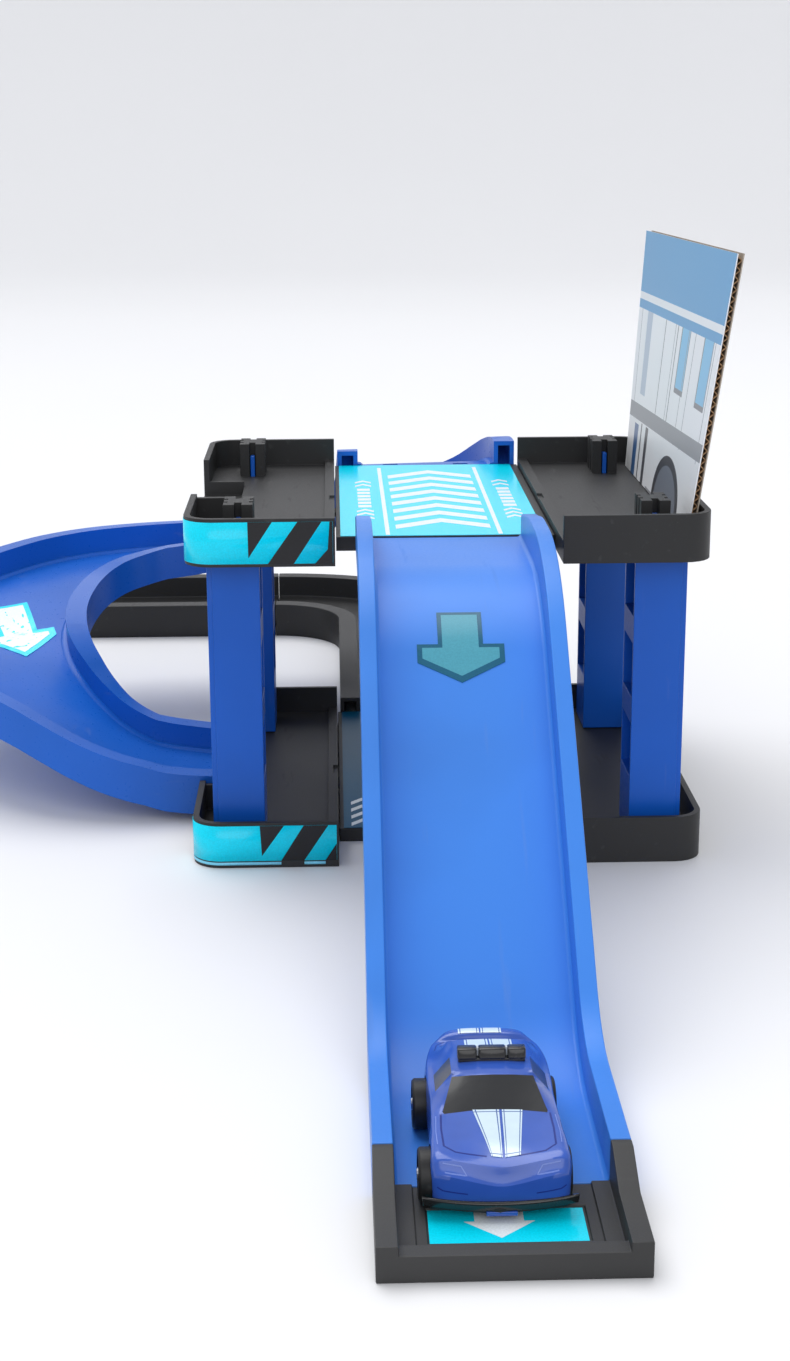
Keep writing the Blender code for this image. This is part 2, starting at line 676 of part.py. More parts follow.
def slide_stop(material):
    """Stop at the slide's foot: a floor with stepped gutters, side walls and a low lip."""
    start = slide_route()[-1][0] - GAP
    end = start - STOP_LENGTH
    wall_top = SLIDE_FOOT_Z + SLIDE_WALL_HEIGHT
    outline = [
        (start, 0.0),
        (start, wall_top),
        (start - STOP_SHOULDER, wall_top),
        (start - STOP_SHOULDER - STOP_FALL, STOP_WALL_HEIGHT),
        (end, STOP_WALL_HEIGHT),
        (end, 0.0),
    ]
    bm = bmesh.new()
    half = SLIDE_WIDTH / 2
    add_prism(bm, outline, -half, half, place=lambda a, b, height: (height, a, b))
    piece = add_object("slide_stop", bm, material)

    inner = half - SLIDE_RIM
    above = 2 * wall_top
    lip = end + STOP_LIP_DEPTH
    gutter = inner - STOP_GUTTER
    panel = STOP_PANEL_WIDTH / 2
    panel_y = start - STOP_PANEL_START
    cuts = [
        ((-inner, lip, SLIDE_FOOT_Z + STOP_STEP), (inner, start + GAP, above)),
        ((-gutter, lip, SLIDE_FOOT_Z), (gutter, start + GAP, above)),
        ((-inner, end - STOP_LIP_DEPTH, STOP_LIP_HEIGHT), (inner, lip + GAP, above)),
        ((-panel, panel_y - STOP_PANEL_LENGTH, SLIDE_FOOT_Z - STOP_PANEL_DEPTH), (panel, panel_y, above)),
    ]
    for index, (low, high) in enumerate(cuts):
        combine(piece, boxes(f"slide_stop_cut_{index}", [(low, high)]), "DIFFERENCE")
    bevel = piece.modifiers.new("corner", "BEVEL")
    bevel.width = STOP_STEP
    bevel.segments = 2
    bevel.limit_method = "ANGLE"
    bevel.angle_limit = math.radians(60.0)
    return piece


def winding_track(material):
    """Track from the back of the upper deck, round the left side, down to the lower tray."""
    quarter = math.radians(90.0)
    last_run = WINDING_MAIN_X - OUTER_X + BAY_INSET - GAP
    moves = [
        ("run", WINDING_START_RUN - GAP),
        ("turn", WINDING_FIRST_RADIUS, quarter),
        ("run", WINDING_MAIN_X - WINDING_FIRST_RADIUS),
        ("turn", WINDING_MAIN_RADIUS, 2 * quarter),
        ("run", last_run),
    ]
    samples = plan_path((0.0, REAR_Y + GAP), quarter, moves)
    total = samples[-1][3]
    top = LEVEL_RISE + TRACK_FLOOR_Z

    def height_at(distance):
        dropped = 0.0
        for share, begin, end in WINDING_DROPS:
            dropped += share * ease((distance / total - begin) / (end - begin))
        return top - (top - WINDING_FOOT_Z) * dropped

    bm = bmesh.new()
    profiles = track_profiles(samples, WINDING_SKIRT, WINDING_LEFT_WALL, WINDING_RIGHT_WALL)
    sweep(bm, profiles, plan_frames(samples, height_at))
    piece = add_object("winding_track", bm, material)
    slots = latch_slots("winding_track_top_slots", (0.0, REAR_Y + GAP, 0.0), quarter, top)
    combine(piece, slots, "DIFFERENCE")
    end = (samples[-1][0], samples[-1][1], 0.0)
    slots = latch_slots("winding_track_foot_slots", end, 2 * quarter, WINDING_FOOT_Z)
    combine(piece, slots, "DIFFERENCE")
    return piece


def floor_track(material):
    """Two black pieces on the table: a run with a left turn behind the garage, and its end."""
    quarter = math.radians(90.0)
    moves = [("run", FLOOR_RUN - GAP), ("turn", FLOOR_TURN_RADIUS, quarter)]
    samples = plan_path((0.0, REAR_Y + GAP), quarter, moves)
    bm = bmesh.new()
    profiles = track_profiles(samples, TRACK_FLOOR_Z, FLOOR_WALL, FLOOR_WALL)
    sweep(bm, profiles, plan_frames(samples, lambda distance: TRACK_FLOOR_Z))
    turn = add_object("floor_track_turn", bm, material)
    slots = latch_slots("floor_track_slots", (0.0, REAR_Y + GAP, 0.0), quarter, TRACK_FLOOR_Z)
    combine(turn, slots, "DIFFERENCE")

    x, y = samples[-1][0], samples[-1][1]
    samples = plan_path((x - GAP, y), 2 * quarter, [("run", FLOOR_END_RUN)])
    bm = bmesh.new()
    profiles = [profiles[-1]] * len(samples)
    sweep(bm, profiles, plan_frames(samples, lambda distance: TRACK_FLOOR_Z))
    end = add_object("floor_track_end", bm, material)
    slots = latch_slots("floor_track_end_slots", (x - GAP, y, 0.0), 2 * quarter, TRACK_FLOOR_Z)
    combine(end, slots, "DIFFERENCE")
    return turn, end


def backdrop_card(material):
    """Card that stands in the upper right tray and leans on its outer wall."""
    base_z = LEVEL_RISE + TRAY_FLOOR + GAP
    top_z = base_z + CARD_HEIGHT
    front = FRONT_Y + CARD_FRONT_MARGIN
    rim_part = (TRAY_HEIGHT - TRAY_FLOOR) / CARD_HEIGHT
    back_x = OUTER_X - TRAY_WALL - GAP - CARD_FRONT_LEAN * rim_part
    corners = []
    for y, lean in ((front, CARD_FRONT_LEAN), (front + CARD_LENGTH, CARD_REAR_LEAN)):
        for x, z in (
            (back_x - CARD_THICKNESS, base_z),
            (back_x, base_z),
            (back_x + lean, top_z),
            (back_x + lean - CARD_THICKNESS, top_z),
        ):
            corners.append(Vector((x, y, z)))
    bm = bmesh.new()
    verts = [bm.verts.new(corner) for corner in corners]
    near, far = verts[:4], verts[4:]
    bm.faces.new(near)
    bm.faces.new(reversed(far))
    for index in range(4):
        following = (index + 1) % 4
        bm.faces.new((near[index], far[index], far[following], near[following]))
    bmesh.ops.triangulate(bm, faces=bm.faces)
    return add_object("backdrop_card", bm, material, origin=(back_x, front + CARD_LENGTH / 2, base_z))


# Half sections of the car body as shares of its length, half width and height:
# place from the nose, then (width, height) at the sill, waist, shoulder and roof edge
CAR_SECTIONS = [
    (0.00, (0.66, 0.10), (0.74, 0.22), (0.70, 0.42), (0.56, 0.48)),
    (0.04, (0.90, 0.00), (0.97, 0.20), (0.93, 0.53), (0.72, 0.57)),
    (0.13, (1.00, 0.00), (1.00, 0.22), (0.97, 0.60), (0.78, 0.63)),
    (0.36, (1.00, 0.00), (1.00, 0.22), (0.98, 0.62), (0.80, 0.67)),
    (0.50, (1.00, 0.00), (1.00, 0.22), (0.98, 0.63), (0.62, 0.95)),
    (0.68, (1.00, 0.00), (1.00, 0.22), (0.98, 0.64), (0.62, 0.98)),
    (0.85, (1.00, 0.00), (1.00, 0.22), (0.98, 0.65), (0.76, 0.76)),
    (0.96, (0.96, 0.02), (0.98, 0.22), (0.94, 0.64), (0.76, 0.74)),
    (1.00, (0.86, 0.12), (0.90, 0.24), (0.86, 0.56), (0.70, 0.64)),
]


def car(blue, black, grey):
    """Small car at the foot of the slide: body, chassis, two axles, four wheels, light bar."""
    foot = slide_route()[-1][0] - GAP
    nose = foot - CAR_NOSE_MARGIN
    ground = SLIDE_FOOT_Z + GAP
    axle_z = ground + WHEEL_RADIUS
    body_z = ground + CAR_FLOOR_CLEARANCE
    front_axle_y = nose + FRONT_OVERHANG
    axles = (("front", front_axle_y), ("rear", front_axle_y + WHEEL_BASE))
    half = CAR_WIDTH / 2
    pieces = []

    bm = bmesh.new()
    rings = []
    for along, *levels in CAR_SECTIONS:
        right = [(half * width, CAR_BODY_HEIGHT * height) for width, height in levels]
        outline = right + [(-x, z) for x, z in reversed(right)]
        y = nose + CAR_LENGTH * along
        rings.append([bm.verts.new((CAR_X + x, y, body_z + z)) for x, z in outline])
    for near, far in zip(rings, rings[1:]):
        for index in range(len(near)):
            following = (index + 1) % len(near)
            bm.faces.new((near[index], near[following], far[following], far[index]))
    bm.faces.new(reversed(rings[0]))
    bm.faces.new(rings[-1])
    middle = (CAR_X, nose + CAR_LENGTH / 2, body_z)
    body = add_object("car_body", bm, blue, origin=middle)
    pieces.append(body)

    track_half = WHEEL_TRACK / 2
    for label, y in axles:
        arch = WHEEL_RADIUS + WHEEL_ARCH
        depth = WHEEL_WIDTH + 2 * GAP + AXLE_SHIFT + WHEEL_ARCH
        for side in (-1, 1):
            bm = bmesh.new()
            near = side * (half + WHEEL_ARCH)
            far = side * (track_half - depth)
            profile = [(near, 0.0), (near, arch), (far, arch), (far, 0.0)]
            turned(bm, profile, (CAR_X, y, axle_z))
            combine(body, add_object(f"car_arch_{label}_{side + 1}", bm), "DIFFERENCE")
        slot = AXLE_RADIUS + GAP
        low = (CAR_X - half, y - slot, ground)
        high = (CAR_X + half, y + slot, axle_z + slot)
        combine(body, boxes(f"car_axle_slot_{label}", [(low, high)]), "DIFFERENCE")

        hub = AXLE_RADIUS + GAP
        centre = (CAR_X - AXLE_SHIFT, y, axle_z)
        for side, hand in ((-1, "left"), (1, "right")):
            bm = bmesh.new()
            outside = side * track_half
            inside = side * (track_half - WHEEL_WIDTH)
            dish = side * (track_half - WHEEL_WIDTH / 4)
            shoulder = side * (track_half - WHEEL_WIDTH / 8)
            profile = [
                (inside, hub),
                (inside, WHEEL_RADIUS * 0.94),
                (side * (track_half - WHEEL_WIDTH * 0.88), WHEEL_RADIUS),
                (shoulder, WHEEL_RADIUS),
                (outside, WHEEL_RADIUS * 0.9),
                (outside, WHEEL_RADIUS * 0.68),
                (dish, WHEEL_RADIUS * 0.6),
                (dish, hub),
            ]
            turned(bm, profile, centre)
            pieces.append(add_object(f"car_wheel_{label}_{hand}", bm, black, origin=centre))
        bm = bmesh.new()
        reach = track_half - WHEEL_WIDTH / 4 + GAP
        head = AXLE_RADIUS * 2
        cap = AXLE_RADIUS
        profile = [
            (-reach - cap, 0.0),
            (-reach - cap, head * 0.7),
            (-reach, head),
            (-reach, AXLE_RADIUS),
            (reach, AXLE_RADIUS),
            (reach, head),
            (reach + cap, head * 0.7),
            (reach + cap, 0.0),
        ]
        turned(bm, profile, centre, steps=12)
        pieces.append(add_object(f"car_axle_{label}", bm, grey, origin=centre))

    # Chassis plate under the body, drawn out to a lip at the nose, with an axle saddle each end
    bm = bmesh.new()
    plate_half = track_half - WHEEL_WIDTH - 2 * AXLE_SHIFT
    top = body_z - GAP
    bottom = top - CHASSIS_THICKNESS
    add_box(
        bm,
        (CAR_X - plate_half, nose + FRONT_OVERHANG / 4, bottom),
        (CAR_X + plate_half, nose + CAR_LENGTH * 0.96, top),
    )
    chassis = add_object("car_chassis", bm, black, origin=middle)
    pieces.append(chassis)
    lip_y = nose - LIP_REACH
    outline = [
        (CAR_X - half, lip_y + LIP_SWEEP),
        (CAR_X, lip_y),
        (CAR_X + half, lip_y + LIP_SWEEP),
        (CAR_X + half, lip_y + LIP_SWEEP + LIP_DEPTH),
        (CAR_X - half, lip_y + LIP_SWEEP + LIP_DEPTH),
    ]
    bm = bmesh.new()
    add_prism(bm, outline, bottom + GAP, top)
    combine(chassis, add_object("car_lip", bm), "UNION")
    for label, y in axles:
        saddle = AXLE_RADIUS
        low = (CAR_X - plate_half / 2, y - saddle, bottom + CHASSIS_THICKNESS / 2)
        high = (CAR_X + plate_half / 2, y + saddle, axle_z - AXLE_RADIUS - GAP)
        combine(chassis, boxes(f"car_saddle_{label}", [(low, high)]), "UNION")

    # Light bar of three lamps on one foot
    bm = bmesh.new()
    roof_z = body_z + CAR_BODY_HEIGHT * 0.98 + GAP
    bar_y = nose + CAR_LENGTH * 0.63
    width = LIGHT_BAR_WIDTH / 2
    depth = LIGHT_BAR_DEPTH / 2
    add_box(
        bm,
        (CAR_X - width * 0.9, bar_y - depth * 0.8, roof_z),
        (CAR_X + width * 0.9, bar_y + depth * 0.8, roof_z + LIGHT_BAR_HEIGHT / 2),
    )
    bar = add_object("car_light_bar", bm, black, origin=middle)
    pieces.append(bar)
    lamps = []
    for edge, far_edge in ((-1.0, -0.44), (-0.36, 0.36), (0.44, 1.0)):
        low = (CAR_X + width * edge, bar_y - depth, roof_z + LIGHT_BAR_HEIGHT * 0.3)
        lamps.append((low, (CAR_X + width * far_edge, bar_y + depth, roof_z + LIGHT_BAR_HEIGHT)))
    combine(bar, boxes("car_lamps", lamps), "UNION")
    return pieces


def shade_round_pieces(pieces):
    for piece in pieces:
        piece.data.shade_smooth()
        piece.data.set_sharp_from_angle(angle=math.radians(32.0))


def main():
    clear_scene()
    blue = plastic("blue_plastic", (0.016, 0.085, 0.52), 0.32)
    black = plastic("black_plastic", (0.022, 0.022, 0.024), 0.5)
    car_blue = plastic("car_blue", (0.014, 0.035, 0.30), 0.25)
    card = plastic("printed_card", (0.62, 0.66, 0.72), 0.7)
    steel = plastic("axle_steel", (0.55, 0.55, 0.56), 0.35, 1.0)

    for prefix, level in (("lower", 0.0), ("upper", LEVEL_RISE)):
        tray(prefix + "_tray_left", -1, level, True, black)
        tray(prefix + "_tray_right", 1, level, False, black)
        lane(prefix + "_lane", level, black)
    for side, hand in ((-1, "left"), (1, "right")):
        for end, place in ((-1, "front"), (1, "rear")):
            column(f"column_{place}_{hand}", side, end, blue)
    round_pieces = [slide(blue), winding_track(blue), *floor_track(black)]
    slide_stop(black)
    backdrop_card(card)
    round_pieces += car(car_blue, black, steel)
    shade_round_pieces(round_pieces)


main()
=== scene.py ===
import math

import bpy
from mathutils import Matrix, Vector


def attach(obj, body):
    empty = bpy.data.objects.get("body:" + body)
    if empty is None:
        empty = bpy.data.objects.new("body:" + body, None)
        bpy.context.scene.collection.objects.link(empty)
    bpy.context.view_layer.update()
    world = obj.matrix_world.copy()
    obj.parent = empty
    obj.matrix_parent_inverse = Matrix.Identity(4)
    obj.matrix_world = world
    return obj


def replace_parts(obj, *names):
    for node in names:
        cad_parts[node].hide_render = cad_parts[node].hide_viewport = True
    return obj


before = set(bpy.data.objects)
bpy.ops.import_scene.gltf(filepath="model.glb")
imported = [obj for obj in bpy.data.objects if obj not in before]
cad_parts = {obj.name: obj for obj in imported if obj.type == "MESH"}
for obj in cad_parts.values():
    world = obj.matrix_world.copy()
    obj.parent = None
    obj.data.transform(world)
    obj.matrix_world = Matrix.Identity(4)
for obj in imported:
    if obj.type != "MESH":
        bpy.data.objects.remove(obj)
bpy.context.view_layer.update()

MM = 0.001

# The garage's own sizes in millimetres, as its solids have them
FRONT_Y = -79.0
LEVEL_RISE = 95.8
LANE_TOP = 4.4
LANE_FRONT_Y = -56.3
TRAY_CORNER = 9.0
TRAY_OUTER_X = 80.0
CAR_X = -1.5
CAR_NOSE_Y = -296.29
STOP_PANEL_Z = 1.8

# Camera of the photograph, in millimetres and radians
FOCAL_PIXELS = 2034.0
LONG_SIDE_PIXELS = 1361.0
SENSOR_WIDTH = 36.0
CAMERA_PLACE = (-34.15, -676.8, 224.5)
CAMERA_YAW = -0.0294
CAMERA_PITCH = -0.2683
CAMERA_ROLL = -0.0048

# Colours, linear
TRACK_BLUE = (0.008, 0.110, 0.520)
CAR_BLUE = (0.026, 0.090, 0.440)
TRAY_GREY = (0.024, 0.024, 0.0245)
STICKER_CYAN = (0.001, 0.720, 0.920)
# Same cyan film as the upper lane, painted darker: painted shade on the lower lane under the upper deck
STICKER_CYAN_PAINTED_SHADE = (0.001, 0.085, 0.170)
PRINT_WHITE = (0.80, 0.86, 0.88)
PRINT_BLACK = (0.012, 0.012, 0.014)


def only(*objects):
    """Select these objects and nothing else."""
    bpy.ops.object.select_all(action="DESELECT")
    for item in objects:
        item.select_set(True)
    bpy.context.view_layer.objects.active = objects[0]


def apply_modifier(piece, kind, **settings):
    """Add a modifier with its settings and apply it."""
    modifier = piece.modifiers.new(kind.lower(), kind)
    for name, value in settings.items():
        setattr(modifier, name, value)
    only(piece)
    bpy.ops.object.modifier_apply(modifier=modifier.name)


def merge_points(piece, distance=0.001 * MM):
    only(piece)
    bpy.ops.object.mode_set(mode="EDIT")
    bpy.ops.mesh.select_all(action="SELECT")
    bpy.ops.mesh.remove_doubles(threshold=distance)
    bpy.ops.object.mode_set(mode="OBJECT")


def face_outwards(piece):
    only(piece)
    bpy.ops.object.mode_set(mode="EDIT")
    bpy.ops.mesh.select_all(action="SELECT")
    bpy.ops.mesh.normals_make_consistent(inside=False)
    bpy.ops.object.mode_set(mode="OBJECT")


def close_ends(piece):
    """Fill a swept piece's open edges."""
    only(piece)
    bpy.ops.object.mode_set(mode="EDIT")
    bpy.ops.mesh.select_mode(type="EDGE")
    bpy.ops.mesh.select_all(action="DESELECT")
    bpy.ops.mesh.select_non_manifold()
    bpy.ops.mesh.edge_face_add()
    bpy.ops.object.mode_set(mode="OBJECT")
    face_outwards(piece)


def smooth_by_angle(piece, degrees=35.0):
    only(piece)
    bpy.ops.object.shade_smooth_by_angle(angle=math.radians(degrees))


def dress(piece, body, finish):
    """Give a piece its finish and the body it rides on."""
    piece.data.materials.clear()
    piece.data.materials.append(finish)
    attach(piece, body)
    return piece


# Finishes

def feed(tree, socket, value):
    """Give a socket a value, or link another node's output to it."""
    if isinstance(value, bpy.types.NodeSocket):
        tree.links.new(value, socket)
    else:
        socket.default_value = value


def maths(tree, operation, first, second=0.0):
    node = tree.nodes.new("ShaderNodeMath")
    node.operation = operation
    feed(tree, node.inputs[0], first)
    feed(tree, node.inputs[1], second)
    return node.outputs[0]


def spread(tree, value, low, high, to_low, to_high):
    """Stretch a value's range from low..high to to_low..to_high."""
    node = tree.nodes.new("ShaderNodeMapRange")
    feed(tree, node.inputs["Value"], value)
    node.inputs["From Min"].default_value = low
    node.inputs["From Max"].default_value = high
    node.inputs["To Min"].default_value = to_low
    node.inputs["To Max"].default_value = to_high
    return node.outputs[0]


def mix_colours(tree, amount, first, second):
    node = tree.nodes.new("ShaderNodeMix")
    node.data_type = "RGBA"
    feed(tree, node.inputs[0], amount)
    feed(tree, node.inputs[6], first)
    feed(tree, node.inputs[7], second)
    return node.outputs[2]


def shade(colour, factor):
    return (*(min(1.0, part * factor) for part in colour), 1.0)


def noise(tree, size, detail=2.0, stretch=(1.0, 1.0, 1.0)):
    """Noise with features about `size` millimetres across, longer where stretch is small."""
    coords = tree.nodes.new("ShaderNodeTexCoord")
    mapping = tree.nodes.new("ShaderNodeMapping")
    mapping.inputs["Scale"].default_value = stretch
    texture = tree.nodes.new("ShaderNodeTexNoise")
    texture.inputs["Scale"].default_value = 1.0 / (size * MM)
    texture.inputs["Detail"].default_value = detail
    tree.links.new(coords.outputs["Object"], mapping.inputs["Vector"])
    tree.links.new(mapping.outputs["Vector"], texture.inputs["Vector"])
    return texture.outputs["Fac"]


def relief(tree, shader, height, depth, strength=1.0):
    """Bump of `depth` millimetres from a height."""
    bump = tree.nodes.new("ShaderNodeBump")
    bump.inputs["Strength"].default_value = strength
    bump.inputs["Distance"].default_value = depth * MM
    tree.links.new(height, bump.inputs["Height"])
    tree.links.new(bump.outputs["Normal"], shader.inputs["Normal"])


def new_finish(name, roughness, metallic=0.0, coat=0.0, coat_roughness=0.08, gloss=0.5):
    finish = bpy.data.materials.new(name)
    finish.use_nodes = True
    tree = finish.node_tree
    shader = tree.nodes["Principled BSDF"]
    shader.inputs["Roughness"].default_value = roughness
    shader.inputs["Metallic"].default_value = metallic
    shader.inputs["Coat Weight"].default_value = coat
    shader.inputs["Coat Roughness"].default_value = coat_roughness
    shader.inputs["Specular IOR Level"].default_value = gloss
    return finish, tree, shader


def moulded_plastic(name, colour, roughness, grain, grain_depth, scuff_way, coat=0.0):
    """Moulded plastic: faint clouds in the colour, a fine skin and light scuffs from use."""
    finish, tree, shader = new_finish(name, roughness, coat=coat, gloss=0.3)
    clouds = spread(tree, noise(tree, 60.0, 3.0), 0.35, 0.65, 0.0, 1.0)
    base = mix_colours(tree, clouds, shade(colour, 0.92), shade(colour, 1.08))
    scuffs = noise(tree, 3.2, 5.0, scuff_way)
    worn = spread(tree, scuffs, 0.64, 0.78, 0.0, 0.22)
    pale = (*(part * 0.6 + 0.12 for part in colour), 1.0)
    feed(tree, shader.inputs["Base Color"], mix_colours(tree, worn, base, pale))
    skin = noise(tree, grain, 2.0)
    varied = spread(tree, skin, 0.3, 0.7, roughness - 0.03, roughness + 0.04)
    feed(tree, shader.inputs["Roughness"], maths(tree, "ADD", varied, worn))
    relief(tree, shader, skin, grain_depth)
    return finish


def vinyl_print(name, colour, roughness=0.24, coat=0.1, gloss=0.25):
    """Glossy sticker film with slight ripples where it isn't pressed flat."""
    finish, tree, shader = new_finish(name, roughness, coat=coat, gloss=gloss)
    ripples = noise(tree, 14.0, 2.0)
    dots = noise(tree, 0.5, 1.0)
    tone = mix_colours(tree, spread(tree, dots, 0.35, 0.65, 0.0, 1.0), shade(colour, 0.95), shade(colour, 1.05))
    feed(tree, shader.inputs["Base Color"], tone)
    relief(tree, shader, ripples, 0.05)
    return finish


def bordered_film(name, colour, line_colour):
    """Pale film with a fine dark line just inside its edges, from the piece's own UV map."""
    finish, tree, shader = new_finish(name, 0.18, coat=0.5)
    coords = tree.nodes.new("ShaderNodeUVMap")
    split = tree.nodes.new("ShaderNodeSeparateXYZ")
    tree.links.new(coords.outputs["UV"], split.inputs[0])
    lines = 0.0
    for axis, inset, width in ((0, 0.10, 0.05), (1, 0.05, 0.018)):
        from_middle = maths(tree, "ABSOLUTE", maths(tree, "SUBTRACT", split.outputs[axis], 0.5))
        off_line = maths(tree, "ABSOLUTE", maths(tree, "SUBTRACT", from_middle, 0.5 - inset))
        lines = maths(tree, "MAXIMUM", maths(tree, "LESS_THAN", off_line, width / 2), lines)
    clouds = mix_colours(tree, noise(tree, 2.0, 2.0), shade(colour, 0.94), shade(colour, 1.06))
    feed(tree, shader.inputs["Base Color"], mix_colours(tree, lines, clouds, (*line_colour, 1.0)))
    relief(tree, shader, noise(tree, 3.0, 2.0), 0.02)
    return finish


def car_paint(name, colour):
    """Glossy moulded body colour under a clear coat."""
    finish, tree, shader = new_finish(name, 0.24, coat=0.4, gloss=0.4)
    clouds = spread(tree, noise(tree, 9.0, 2.0), 0.35, 0.65, 0.0, 1.0)
    feed(tree, shader.inputs["Base Color"], mix_colours(tree, clouds, shade(colour, 0.94), shade(colour, 1.06)))
    relief(tree, shader, noise(tree, 1.6, 2.0), 0.02)
    return finish


def drawn_steel(name):
    finish, tree, shader = new_finish(name, 0.3, metallic=1.0)
    lines = noise(tree, 0.4, 3.0, (0.05, 1.0, 1.0))
    feed(tree, shader.inputs["Base Color"], mix_colours(tree, lines, (0.42, 0.42, 0.43, 1.0), (0.68, 0.68, 0.69, 1.0)))
    relief(tree, shader, lines, 0.01)
    return finish


# Slide, track and columns are one blue plastic: the slide's copy is painted lighter for the light on its top, the
# columns' copy darker for the shade on their faces
slide_plastic_painted_light = moulded_plastic("slide_blue_plastic_painted_light", (0.045, 0.215, 0.700), 0.36, 0.9, 0.012, (1.0, 0.08, 0.08))
track_plastic = moulded_plastic("track_blue_plastic", TRACK_BLUE, 0.30, 1.1, 0.012, (0.3, 0.3, 1.0))
column_plastic_painted_shade = moulded_plastic("column_blue_plastic_painted_shade", (0.004, 0.092, 0.470), 0.34, 1.0, 0.015, (1.0, 1.0, 0.1))
tray_plastic = moulded_plastic("tray_black_plastic", TRAY_GREY, 0.46, 0.35, 0.02, (1.0, 0.15, 1.0))
stop_plastic = moulded_plastic("stop_black_plastic", (0.040, 0.040, 0.0405), 0.50, 0.35, 0.02, (0.15, 1.0, 1.0))
wheel_plastic = moulded_plastic("wheel_black_plastic", (0.016, 0.016, 0.017), 0.42, 0.5, 0.02, (1.0, 1.0, 1.0))
lamp_plastic = moulded_plastic("lamp_black_plastic", (0.014, 0.014, 0.015), 0.24, 0.8, 0.01, (1.0, 1.0, 1.0), coat=0.4)
body_paint = car_paint("car_blue_paint", CAR_BLUE)
window_black = car_paint("car_window_black", (0.010, 0.011, 0.013))
stripe_white = bordered_film("car_stripe_white", (0.60, 0.74, 0.84), (0.06, 0.13, 0.36))
# Pale finish for the pins between the roof lamps: a painted highlight
lamp_gap_highlight_finish = vinyl_print("car_lamp_clip_white", (0.55, 0.60, 0.66))
# Dark blue strips: painted shade where the body's panel grooves would hold shadow
shadow_blue = vinyl_print("car_panel_groove_painted_shade", (0.012, 0.030, 0.22))
# Pale blue strips: painted highlight along the lamps' outlines and the wings' edges
painted_highlight_line = vinyl_print("car_edge_painted_highlight", (0.16, 0.24, 0.62))
cyan_film = vinyl_print("sticker_cyan_film", STICKER_CYAN)
cyan_film_painted_shade = vinyl_print("sticker_cyan_film_painted_shade", STICKER_CYAN_PAINTED_SHADE, 0.35, 0.0, 0.2)
white_ink = vinyl_print("sticker_white_ink", PRINT_WHITE)
teal_ink = vinyl_print("sticker_teal_ink", (0.075, 0.330, 0.420))
dark_teal_ink = vinyl_print("sticker_dark_teal_ink", (0.010, 0.110, 0.190))
black_ink = vinyl_print("sticker_black_ink", PRINT_BLACK)
sky_ink = vinyl_print("sticker_sky_ink", (0.22, 0.66, 0.86))
steel = drawn_steel("axle_drawn_steel")


# Moulded pieces: the garage's own solids with the rounded edges that moulding leaves

def round_edges(piece, width):
    """Round a moulded piece's sharp edges, with its flat faces kept flat in the light."""
    settings = {"segments": 2, "limit_method": "ANGLE", "angle_limit": math.radians(38.0)}
    apply_modifier(piece, "BEVEL", width=width * MM, use_clamp_overlap=True, **settings)
    smooth_by_angle(piece)
    apply_modifier(piece, "WEIGHTED_NORMAL", keep_sharp=True)


def moulded_copy(node, body, finish, edge):
    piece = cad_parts[node].copy()
    piece.data = piece.data.copy()
    piece.name = node + "_moulded"
    piece.parent = None
    piece.matrix_world = Matrix.Identity(4)
    bpy.context.collection.objects.link(piece)
    merge_points(piece)
    bpy.ops.object.mode_set(mode="EDIT")
    bpy.ops.mesh.select_all(action="SELECT")
    bpy.ops.mesh.dissolve_limited(angle_limit=math.radians(0.4))
    bpy.ops.object.mode_set(mode="OBJECT")
    round_edges(piece, edge)
    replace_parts(piece, node)
    return dress(piece, body, finish)


for level in ("lower", "upper"):
    moulded_copy(f"{level}_tray_left", "garage", tray_plastic, 0.35)
    moulded_copy(f"{level}_tray_right", "garage", tray_plastic, 0.35)
    moulded_copy(f"{level}_lane", "garage", tray_plastic, 0.25)
for place in ("front_left", "front_right", "rear_left", "rear_right"):
    moulded_copy(f"column_{place}", "garage", column_plastic_painted_shade, 0.3)
slide = moulded_copy("slide", "garage", slide_plastic_painted_light, 0.45)
moulded_copy("floor_track_turn", "garage", tray_plastic, 0.4)
moulded_copy("floor_track_end", "garage", tray_plastic, 0.4)
moulded_copy("slide_stop", "garage", stop_plastic, 0.12)


# Winding track: a channel with hollow rims, swept from the upper deck round to the lower tray

ROUTE_START_Y = 79.3
ROUTE_RUN_IN = 3.7
ROUTE_FIRST_RADIUS = 37.4
ROUTE_MAIN_RADIUS = 61.1
ROUTE_MAIN_X = 98.5
ROUTE_END_X = -66.3
CHANNEL_HALF = 33.1
CHANNEL_RIM = 7.6
CHANNEL_SKIN = 1.6
CHANNEL_SKIRT = 3.4
CURB_WIDTH = 2.2
CURB_RISE = 1.1

# Height of the floor at its left and right sides, by the distance along the route
LEFT_HEIGHTS = [
    (0, 99.9), (8, 99.8), (14, 98.0), (20, 94.4), (28, 88.5), (36, 83.5), (45, 79.0), (60, 73.5), (90, 65.5),
    (111, 61.0), (137, 57.6), (158, 55.1), (172, 52.8), (185, 50.1), (198, 47.0), (214, 43.3), (230, 39.3),
    (246, 34.3), (262, 28.8), (272, 24.3), (282, 19.9), (294, 15.1), (312, 10.2), (325, 7.6), (340, 5.95), (348, 5.9),
]
RIGHT_HEIGHTS = [
    (0, 99.9), (8, 99.8), (14, 97.8), (20, 93.6), (28, 86.6), (36, 81.0), (45, 76.3), (60, 70.0), (90, 61.5),
    (117, 56.3), (135, 55.3), (147, 54.8), (161, 53.7), (172, 52.2), (185, 50.5), (200, 48.2), (215, 45.5), (230, 42.5),
    (245, 39.2), (260, 35.6), (275, 31.6), (285, 27.6), (292, 23.2), (299, 18.2), (307, 13.2), (315, 9.6), (324, 7.0),
    (338, 5.95), (348, 5.9),
]


